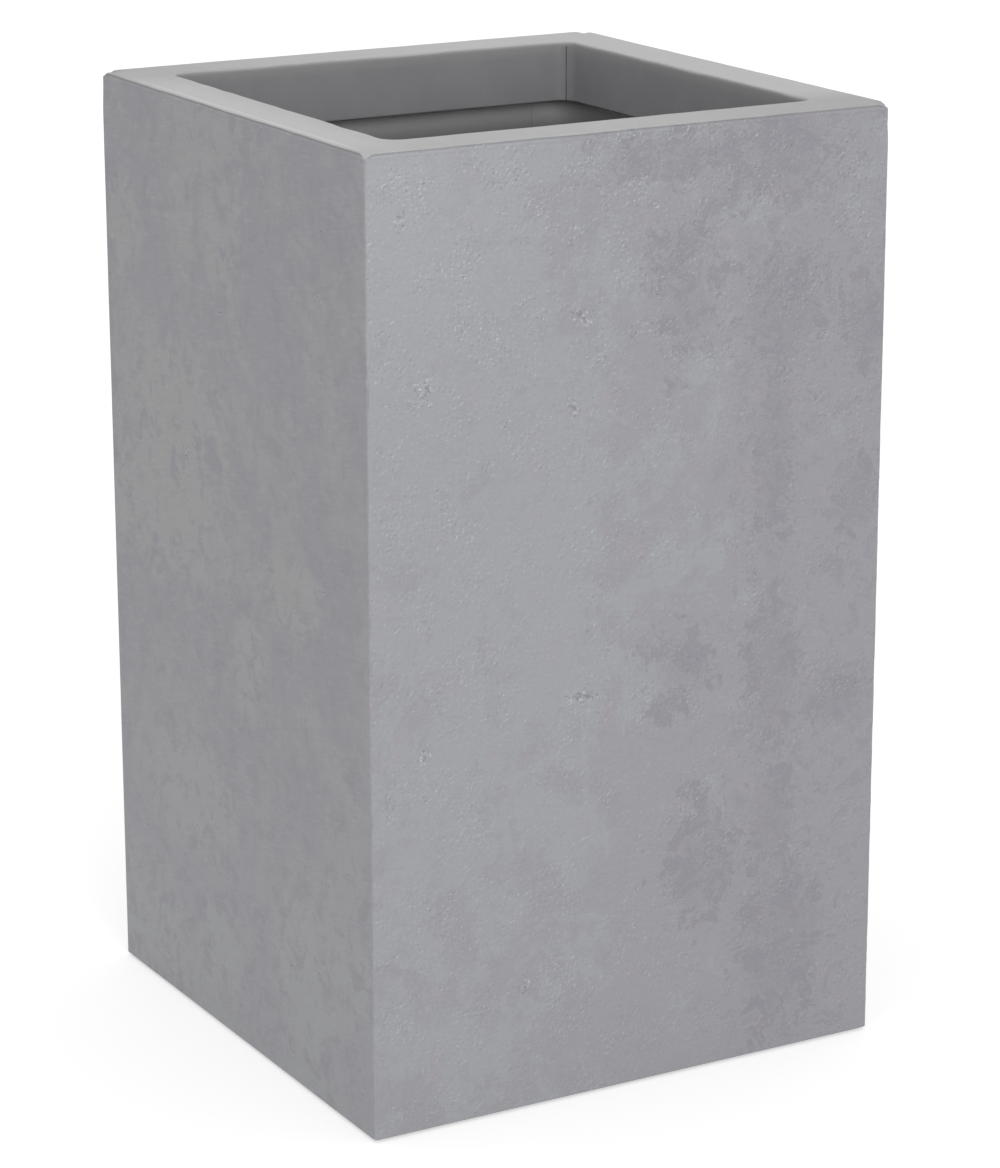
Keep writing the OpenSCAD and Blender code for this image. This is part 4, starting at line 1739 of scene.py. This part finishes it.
@dataclass
class Base:
    """Base plate with its drain, four countersunk screws and four rubber feet."""

    foot_r: float = 20.0
    foot_inset: float = 50.0
    foot_edge_r: float = 0.9
    foot_under: tuple[Flat, ...] = (
        (0.0, 0.5), (5.2, 0.5), (6.0, 0.0), (9.6, 0.0), (10.2, 0.6), (11.8, 0.6), (12.4, 0.0))
    screw_r: float = 2.5
    screw_head_r: float = 5.0
    screw_len: float = 40.0
    screw_inset: float = 8.5
    screw_gap: float = 0.3
    screw_points: int = 20
    thread_pitch: float = 2.0
    thread_depth: float = 0.45
    thread_row: float = 0.25
    thread_start: float = 6.5
    plain_len: float = 9.0
    tip: tuple[Flat, ...] = ((0.7, 38.4), (0.3, 39.7))
    recess: tuple[Flat, ...] = ((-2.6, -0.55), (2.6, -0.55), (2.6, 0.55), (-2.6, 0.55))
    recess_depth: float = 1.7
    corners: tuple[tuple[str, int, int], ...] = (
        ("front_left", -1, -1), ("front_right", 1, -1), ("back_right", 1, 1), ("back_left", -1, 1))

    def spots(self, inset: float) -> list[tuple[str, Matrix]]:
        """Name of each corner, and the move to it at an inset from both walls."""
        away = SIZES.shell_in - inset
        return [(label, moved(x_sign * away, y_sign * away, 0)) for label, x_sign, y_sign in self.corners]

    def build_plate(self) -> None:
        """Builds the plate with its drain and four screw holes."""
        outline = rounded_square(SIZES.shell_in, SIZES.inner_corner_r, 4, 5)
        plate = PieceMesh().prism([point[:2] for point in outline], SIZES.foot_h, SIZES.base_top)
        low, high = SIZES.foot_h - 1, SIZES.base_top + 1
        shank, head = self.screw_r + self.screw_gap, self.screw_head_r + self.screw_gap
        profile = [(0, low), (head + 1, low), (shank, SIZES.foot_h + head - shank), (shank, high), (0, high)]
        cuts = [PieceMesh().drill(SIZES.base_hole_r, low, high, 72)]
        cuts += [PieceMesh().lathe(profile, 32, place) for _, place in self.spots(self.screw_inset)]
        Piece("base_board", Body.PLANTER, "base_plate", RAW_FINISH).make(plate, bevel=0.6, carved=cuts)

    def screw_levels(self) -> list[Point]:
        """Rings of a screw from its head to its tip.

        Returns:
            Radius, height above the head's face and depth of the thread of each ring.
        """
        r, head, threaded = self.screw_r, self.screw_head_r, self.screw_len - self.plain_len
        start, count = self.thread_start, int(threaded / self.thread_row)
        levels = [(head - 0.3, 0.0, 0.0), (head, 0.3, 0.0), (r, head - r + 0.3, 0.0), (r, start - 0.5, 0.0)]
        levels += [(r, start + threaded * step / count, self.thread_depth) for step in range(count + 1)]
        return levels + [(r * share, up, 0.0) for share, up in self.tip]

    def screw_ring(self, radius: float, z: float, thread: float, place: Matrix) -> list[Vector]:
        """One ring of a screw.

        Args:
            radius: Largest radius there.
            z: Height in millimetres.
            thread: Depth of the thread there.
            place: Where the screw stands.

        Returns:
            The ring's points.
        """
        ring = []
        for step, angle in enumerate(circle(self.screw_points)):
            wave = abs(((z / self.thread_pitch - step / self.screw_points) % 1.0) * 2 - 1)
            reach = radius - thread * (1 - wave)
            ring.append(place @ Vector((reach * math.cos(angle), reach * math.sin(angle), z)))
        return ring

    def build_screws(self) -> None:
        """Builds four countersunk screws, each with a thread and a cross recess."""
        z = SIZES.foot_h
        screws, crosses = PieceMesh(), []
        levels = self.screw_levels()
        for _, place in self.spots(self.screw_inset):
            screws.loft([self.screw_ring(radius, z + up, thread, place) for radius, up, thread in levels])
            for angle in (20, 110):
                arm = place @ turned(angle, "Z")
                crosses.append(PieceMesh().prism(self.recess, z - 1, z + self.recess_depth, arm))
        Piece("base_screw_set", Body.PLANTER, "base_screws", ZINC_FINISH).make(screws, carved=crosses)

    def build_feet(self) -> None:
        """Builds the four rubber feet, with two grooves in the face that they stand on."""
        r, h, edge = self.foot_r, SIZES.foot_h, self.foot_edge_r
        side = [(r, 1.9), (r, h - 0.8), (r - 0.2, h - 0.2), (r - 0.7, h), (0, h)]
        profile = [*self.foot_under, *arc((17.6, edge), edge, 270, 325, 3), *side]
        for label, place in self.spots(self.foot_inset):
            foot = PieceMesh().lathe(profile, place=place)
            Piece(f"rubber_foot_{label}", Body.PLANTER, f"foot_{label}", FOOT_FINISH).make(foot)

    def build(self) -> None:
        """Builds the whole base."""
        self.build_plate()
        self.build_screws()
        self.build_feet()


@dataclass
class Plug:
    """Rubber plug with a pull tab, for one of the two drains. The groove gives inset and drop."""

    name: str
    body: Body
    node: str
    hole_r: float
    stem_h: float
    seat_z: float
    head_t: float = 4.0
    head_lap: float = 5.0
    head_edge_r: float = 1.4
    lower_edge_r: float = 0.8
    groove: tuple[Flat, ...] = ((3.2, 0.0), (3.8, 0.4), (5.0, 0.4), (5.6, 0.0))
    tab_w: float = 16.0
    tab_h: float = 14.0
    tab_t: float = 4.0
    tab_root: float = 1.0
    tab_hole_r: float = 3.5
    bevel: float = 1.5
    running_gap: float = 0.05

    def profile(self) -> list[Flat]:
        """The turned plug: a bead around its stem's end, a neck, and a rounded head with a groove on top.

        Returns:
            Radius and height of each point.
        """
        z, stem, head = self.seat_z, self.hole_r - self.running_gap, self.hole_r + self.head_lap
        low, top, edge, under = z - self.stem_h, z + self.head_t, self.head_edge_r, self.lower_edge_r
        rows = [(0, low), (stem - self.bevel, low), (stem, low + self.bevel), (stem, z - 1.0)]
        rows += [(stem - 0.3, z - 0.6), (stem, z), (head - 0.5, z)]
        rows += arc((head - under, z + under), under, 300, 360, 3)
        rows += arc((head - edge, top - edge), edge, 0, 90, 5)
        rows += [(head - inset, top - drop) for inset, drop in self.groove]
        return [*rows, (0, top)]

    def build(self) -> None:
        """Builds the plug and fuses its tab onto it."""
        half, top, reach = self.tab_w / 2, self.tab_h - self.tab_w / 2, self.tab_t
        outline = [(-half, -self.tab_root), (half, -self.tab_root), *arc((0.0, top), half, 0, 180, 20)]
        upright = moved(0, 0, self.seat_z + self.head_t) @ turned(90, "X")
        tab = PieceMesh().prism(outline, -reach / 2, reach / 2, upright)
        hole = PieceMesh().drill(self.tab_hole_r, -reach, reach, 32, upright @ moved(0, top, 0))
        piece = Piece(self.name, self.body, self.node, PLUG_FINISH)
        piece.make(PieceMesh().lathe(self.profile(), 72), bevel=0.35, joined=[tab], carved=[hole])


@dataclass
class Shelf:
    """Four stepped brackets on the walls and the loose shelf that rests on them."""

    clear: float = 4.0
    corner_r: float = 12.0
    hand_hole_r: float = 45.0
    edge_r: float = 1.5
    bracket_w: float = 60.0
    bracket_h: float = 36.0
    bracket_t: float = 8.0
    bearing: float = 12.0
    step_h: float = 6.0
    step_gap: float = 1.0
    side_cells: int = 30
    corner_cells: int = 8

    @property
    def half(self) -> float:
        """Half the shelf's width."""
        return SIZES.opening - self.clear

    def build_brackets(self) -> None:
        """Builds the four brackets."""
        nose, step, wall = self.half - self.bearing, self.half + self.step_gap, SIZES.shell_in
        outline = [(wall, self.step_h), (step, self.step_h), (step, 0), (nose, 0), (nose, -self.bracket_t),
                   (wall - self.bracket_t, -self.bracket_h), (wall, -self.bracket_h)]
        lift = moved(0, 0, SIZES.shelf_z - SIZES.seat_gap)
        for side in Side:
            place = turned(90 * side.value, "Z") @ lift @ turned(90, "X")
            bracket = PieceMesh().prism(outline, -self.bracket_w / 2, self.bracket_w / 2, place)
            piece = Piece(f"bracket_{side.label}", Body.PLANTER, f"shelf_bracket_{side.label}", RAW_FINISH)
            piece.make(bracket, bevel=0.9)

    def build_shelf(self) -> None:
        """Builds the shelf, with rounded edges outside and in the hand hole."""
        low, high, r = SIZES.shelf_z, SIZES.shelf_top, self.edge_r
        outline = rounded_square(self.half, self.corner_r, self.side_cells, self.corner_cells)
        edge = arc((r, low + r), r, 270, 180, 4) + arc((r, high - r), r, 180, 90, 4)
        rows = [(-draw, 0.0, z) for draw, z in edge]
        rows += [(0.0, share, high) for share in (0.25, 0.5, 0.75)]
        rows += [(draw, 1.0, z) for draw, z in reversed(edge)]
        rows += [(0.0, share, low) for share in (0.75, 0.5, 0.25)]
        mesh = PieceMesh().loft([[self.blend(point, *row) for point in outline] for row in rows], joined=True)
        Piece("shelf_board_panel", Body.SHELF, "shelf", BOARD_FINISH).make(mesh)

    def blend(self, point: OutlinePoint, draw: float, share: float, z: float) -> Vector:
        """A point between the shelf's outline and its hand hole.

        Args:
            point: Point of the outline.
            draw: Distance outwards from there.
            share: 0 at the outline and 1 at the hand hole.
            z: Height in millimetres.

        Returns:
            The point.
        """
        angle = math.atan2(point[1], point[0])
        hole = Vector((math.cos(angle), math.sin(angle), 0)) * self.hand_hole_r
        out = Vector((*point[2:], 0)) if share < 0.5 else hole.normalized()
        return Vector((*point[:2], 0)).lerp(hole, share) + out * draw + Vector((0, 0, z))

    def build(self) -> None:
        """Builds the brackets and the shelf."""
        self.build_brackets()
        self.build_shelf()


@dataclass
class Insert:
    """Square tub with a turned-down rim, a drained floor, four feet and four pivot lugs."""

    clear: float = 5.0
    rim_w: float = 9.0
    rim_h: float = 10.0
    wall: float = 3.0
    corner_r: float = 12.0
    foot_r: float = 16.0
    foot_inset: float = 34.0
    lug_r: float = 6.0
    pivot_inset: float = 8.0
    pivot_drop: float = 14.0
    bore_r: float = 2.05
    floor_r: float = 4.0
    base_r: float = 3.0
    edge_r: float = 1.2
    rim_r: float = 2.0
    side_cells: int = 24
    corner_cells: int = 10
    wall_rows: int = 12

    @property
    def rim(self) -> float:
        """Half the width across the rim."""
        return SIZES.opening - self.clear

    @property
    def inner(self) -> float:
        """Half the width inside the walls."""
        return self.rim - self.rim_w - self.wall

    @property
    def pivot_x(self) -> float:
        """Distance of the pivots from the middle plane."""
        return self.inner - self.pivot_inset

    @property
    def pivot_z(self) -> float:
        """Height of the pivots."""
        return SIZES.insert_top - self.pivot_drop

    def section(self) -> list[tuple[float, float, float, float]]:
        """The tub's closed section from its drain, up inside, over the rim and back below.

        Returns:
            Half width, corner radius, height and roundness of each ring; roundness 1 is a circle.
        """
        low, floor, top = SIZES.insert_floor_z, SIZES.insert_floor_top, SIZES.insert_top
        inner, out, rim, count = self.inner, self.inner + self.wall, self.rim, self.wall_rows
        lip, under, lap, hole = top - self.rim_h, top - self.wall, rim - self.wall, SIZES.insert_hole_r
        deep, edge, bend, base = self.floor_r, self.edge_r, self.rim_r, self.base_r
        rise = top - (deep + edge) - floor
        rows = [(inner - deep - 1.0, floor), *arc((inner - deep, floor + deep), deep, 270, 360, 5)]
        rows += [(inner, floor + deep + rise * step / count) for step in range(1, count + 1)]
        rows += [*arc((inner + edge, top - edge), edge, 180, 90, 4), (inner + 4.5, top), (rim - 4.0, top)]
        rows += [*arc((rim - bend, top - bend), bend, 90, 0, 5), (rim, lip + 0.8), (rim - 0.8, lip)]
        rows += [(lap + 0.6, lip), (lap, lip + 0.6), (lap, under), (out + 1.0, under)]
        rows += [(out, under - 1.0 - (top - 8.0 - low) * step / count) for step in range(count)]
        rows += arc((out - base, low + base), base, 0, -90, 5)
        walls = [(half, self.corner_r + half - inner, z, 0.0) for half, z in rows]
        flats = [(hole + 0.5, 0.0, 1.0), (50.0, 12.0, 0.6), (92.0, 12.0, 0.15)]
        first, *above = [(half, radius, floor, share) for half, radius, share in flats]
        below = [(half, radius, low, share) for half, radius, share in reversed(flats)]
        start = [(hole, 0.0, floor - 0.5, 1.0), first, (hole + 12, 0.0, floor, 1.0)]
        return [*start, *above, *walls, *below, (hole, 0.0, low + 0.5, 1.0)]

    def ring(self, half: float, radius: float, z: float, round_share: float) -> list[Vector]:
        """One ring of the tub, between a rounded square and a circle.

        Args:
            half: Half its width, or its radius.
            radius: Corner radius of the square.
            z: Height in millimetres.
            round_share: 0 for the square and 1 for the circle.

        Returns:
            The ring's points.
        """
        like = rounded_square(self.inner, self.corner_r, self.side_cells, self.corner_cells)
        square = rounded_square(half, max(radius, 0.01), self.side_cells, self.corner_cells)
        points = []
        for guide, flat in zip(like, square):
            angle = math.atan2(guide[1], guide[0])
            around = Vector((math.cos(angle) * half, math.sin(angle) * half, z))
            points.append(Vector((*flat[:2], z)).lerp(around, round_share))
        return points

    def feet(self) -> list[PieceMesh]:
        """The four feet under the floor.

        Returns:
            A mesh for each.
        """
        r, low, high = self.foot_r, SIZES.insert_z, SIZES.insert_floor_z + SIZES.insert_floor_t / 2
        profile = [(0, low), (r - 1.0, low), (r - 0.3, low + 0.3), (r, low + 1.0), (r, high), (0, high)]
        spot = self.inner + self.wall - self.foot_inset
        return [PieceMesh().lathe(profile, 48, moved(x_sign * spot, y_sign * spot, 0))
                for x_sign in (-1, 1) for y_sign in (-1, 1)]

    def build(self) -> None:
        """Builds the tub, fuses its feet and lugs onto it and bores the lugs."""
        root, reach, r = self.inner + self.wall / 2, SIZES.lug_t, self.lug_r
        outline = [(root, r), *arc((self.pivot_x, 0.0), r, 90, 270, 14), (root, -r)]
        middle = (SIZES.lug_span + SIZES.lug_t) / 2
        lugs, bores = [], []
        for turn in (0, 180):
            for y in (-middle, middle):
                place = turned(turn, "Z") @ moved(0, y, self.pivot_z) @ turned(90, "X")
                lugs.append(PieceMesh().prism(outline, -reach / 2, reach / 2, place))
                pivot = place @ moved(self.pivot_x, 0, 0)
                bores.append(PieceMesh().drill(self.bore_r, -reach, reach, 24, pivot))
        tub = PieceMesh().loft([self.ring(*row) for row in self.section()], joined=True)
        piece = Piece("insert_tub", Body.INSERT, "insert", PLASTIC_FINISH, 30.0)
        piece.make(tub, joined=[*self.feet(), *lugs], carved=bores)


@dataclass
class Handles:
    """Two wire handles that hang inside the insert, each with a ribbed grip."""

    pivot_x: float
    pivot_z: float
    wire_r: float = 2.0
    lug_gap: float = 1.5
    reach: float = 70.0
    bend_r: float = 8.0
    elbow_r: float = 3.2
    grip_r: float = 5.0
    grip_len: float = 60.0
    bore_r: float = 2.05
    rib_pitch: float = 3.0
    rib_depth: float = 0.5

    def path(self, x: float) -> list[Vector]:
        """The wire's course.

        Args:
            x: Plane that it lies in.

        Returns:
            Points from one pin to the other.
        """
        side = SIZES.lug_span / 2 - self.lug_gap - self.wire_r
        pin, low = SIZES.lug_span / 2 + SIZES.lug_t, -self.reach
        right = [(pin, 0.0), (pin - 0.4, 0.0), (side + 7.0, 0.0)]
        right += arc((side + self.elbow_r, -self.elbow_r), self.elbow_r, 90, 180, 6)
        right += [(side, low * share) for share in (0.3, 0.5, 0.7)]
        right += arc((side - self.bend_r, low + self.bend_r), self.bend_r, 0, -90, 10)
        right += [(20.0, low), (8.0, low)]
        return [Vector((x, y, self.pivot_z + z)) for y, z in right + [(-y, z) for y, z in reversed(right)]]

    def grip_profile(self) -> list[Flat]:
        """The sleeve's closed section.

        Returns:
            Radius and distance from its middle of each point.
        """
        half, r = self.grip_len / 2, self.grip_r
        section = [(self.bore_r, -half), (r - 1.0, -half), (r, -half + 1.0)]
        for index in range(int((self.grip_len - 12.0) / self.rib_pitch)):
            start, low = -half + 6.0 + index * self.rib_pitch, r - self.rib_depth
            section += [(r, start), (low, start + 0.5), (low, start + 1.2), (r, start + 1.7)]
        return section + [(r, half - 1.0), (r - 1.0, half), (self.bore_r, half), (self.bore_r, -half)]

    def build(self) -> None:
        """Builds both handles and their grips."""
        for label, sign, body in (("left", -1, Body.HANDLE_LEFT), ("right", 1, Body.HANDLE_RIGHT)):
            x = sign * self.pivot_x
            wire = PieceMesh().wire(self.path(x), self.wire_r)
            Piece(f"wire_handle_{label}", body, f"handle_{label}", WIRE_FINISH, 60.0).make(wire)
            place = moved(x, 0, self.pivot_z - self.reach) @ turned(90, "X")
            grip = PieceMesh().lathe(self.grip_profile(), 32, place)
            Piece(f"ribbed_grip_{label}", body, f"handle_grip_{label}", GRIP_FINISH, 30.0).make(grip)


@dataclass
class Studio:
    """Plain pale floor, one soft lamp and an even surround."""

    floor_half: float = 20.0
    floor_albedo: float = 0.66
    floor_lift: float = 0.5
    surround: float = 0.82
    lamp_place: Point = (-1.7, -6.2, 2.35)
    lamp_target: Point = (0.0, 0.0, 0.4)
    lamp_width: float = 3.2
    lamp_watts: float = 132.0

    def seen_share(self, g: Graph) -> NodeSocket:
        """1 for rays from the camera, from gloss and through glass, else 0."""
        rays = g.add("ShaderNodeLightPath").outputs
        return g.larger(rays["Is Camera Ray"], rays["Is Glossy Ray"], rays["Is Transmission Ray"])

    def build_lamp(self) -> None:
        """Builds the lamp, unseen by the camera."""
        data = bpy.data.lights.new("key_lamp", "AREA")
        data.shape = "DISK"
        data.size = self.lamp_width
        data.energy = self.lamp_watts
        lamp = bpy.data.objects.new("key_lamp", data)
        lamp.location = self.lamp_place
        aim = Vector(self.lamp_target) - Vector(self.lamp_place)
        lamp.rotation_euler = aim.to_track_quat("-Z", "Y").to_euler()
        lamp.visible_camera = False
        bpy.context.scene.collection.objects.link(lamp)

    def build_floor(self) -> None:
        """Builds the floor, which looks white and still holds the planter's shadow."""
        mesh = bmesh.new()
        bmesh.ops.create_grid(mesh, x_segments=8, y_segments=8, size=self.floor_half)
        data = bpy.data.meshes.new("studio_floor")
        mesh.to_mesh(data)
        mesh.free()
        floor = bpy.data.objects.new("studio_floor", data)
        bpy.context.scene.collection.objects.link(floor)
        made = bpy.data.materials.new("studio_floor_white")
        made.use_nodes = True
        made.node_tree.nodes.clear()
        g = Graph(made.node_tree)
        paint = g.add("ShaderNodeBsdfDiffuse", {"Color": (self.floor_albedo,) * 3 + (1.0,)})
        lift = g.add("ShaderNodeEmission", {"Strength": g.product(self.seen_share(g), self.floor_lift)})
        both = g.add("ShaderNodeAddShader", {0: paint.outputs[0], 1: lift.outputs[0]})
        g.add("ShaderNodeOutputMaterial", {"Surface": both.outputs[0]})
        data.materials.append(made)

    def build_surround(self) -> None:
        """Makes the world an even light that the camera sees as white."""
        world = bpy.data.worlds.new("studio_surround")
        world.use_nodes = True
        world.node_tree.nodes.clear()
        g = Graph(world.node_tree)
        strength = g.total(self.surround, (self.seen_share(g), 1.0 - self.surround))
        light = g.add("ShaderNodeBackground", {"Color": (1.0, 1.0, 1.0, 1.0), "Strength": strength})
        g.add("ShaderNodeOutputWorld", {"Surface": light.outputs[0]})
        bpy.context.scene.world = world

    def build(self) -> None:
        """Builds floor, surround and lamp."""
        self.build_floor()
        self.build_surround()
        self.build_lamp()
        bpy.context.scene.view_settings.view_transform = "Standard"


@dataclass
class PhotoCamera:
    """Camera at the photograph's viewing angle, fitted to the planter's corners."""

    place: Point = (-1.31684, -2.3308, 1.08432)
    azimuth: float = 29.673
    down: float = 16.087
    roll: float = -0.093
    focal_pixels: float = 3892.2
    picture: tuple[int, int] = (1000, 1168)
    sensor: float = 36.0

    def build(self) -> None:
        """Builds the camera and makes it the scene's."""
        data = bpy.data.cameras.new("photo_camera")
        data.sensor_width = self.sensor
        data.lens = self.sensor * self.focal_pixels / max(self.picture)
        camera = bpy.data.objects.new("photo_camera", data)
        aim = turned(-self.azimuth, "Z") @ turned(90 - self.down, "X") @ turned(self.roll, "Z")
        camera.matrix_world = moved(*self.place) @ aim
        bpy.context.scene.collection.objects.link(camera)
        bpy.context.scene.camera = camera


def main() -> None:
    """Builds the camera, the studio and every piece."""
    logging.basicConfig(level=logging.INFO, format="%(message)s")
    insert = Insert()
    for part in (
        PhotoCamera(), Studio(), Walls(), Lip(), Band(), CornerPosts(), Base(), Shelf(), insert,
        Handles(insert.pivot_x, insert.pivot_z),
        Plug("base_drain_plug", Body.BASE_PLUG, "base_plug", SIZES.base_hole_r, SIZES.base_t,
             SIZES.base_top + SIZES.seat_gap),
        Plug("insert_drain_plug", Body.INSERT_PLUG, "insert_plug", SIZES.insert_hole_r,
             SIZES.insert_floor_t + 1.5, SIZES.insert_floor_top + SIZES.seat_gap),
    ):
        part.build()
        LOG.info("%s built", type(part).__name__)


if __name__ == "__main__":
    main()
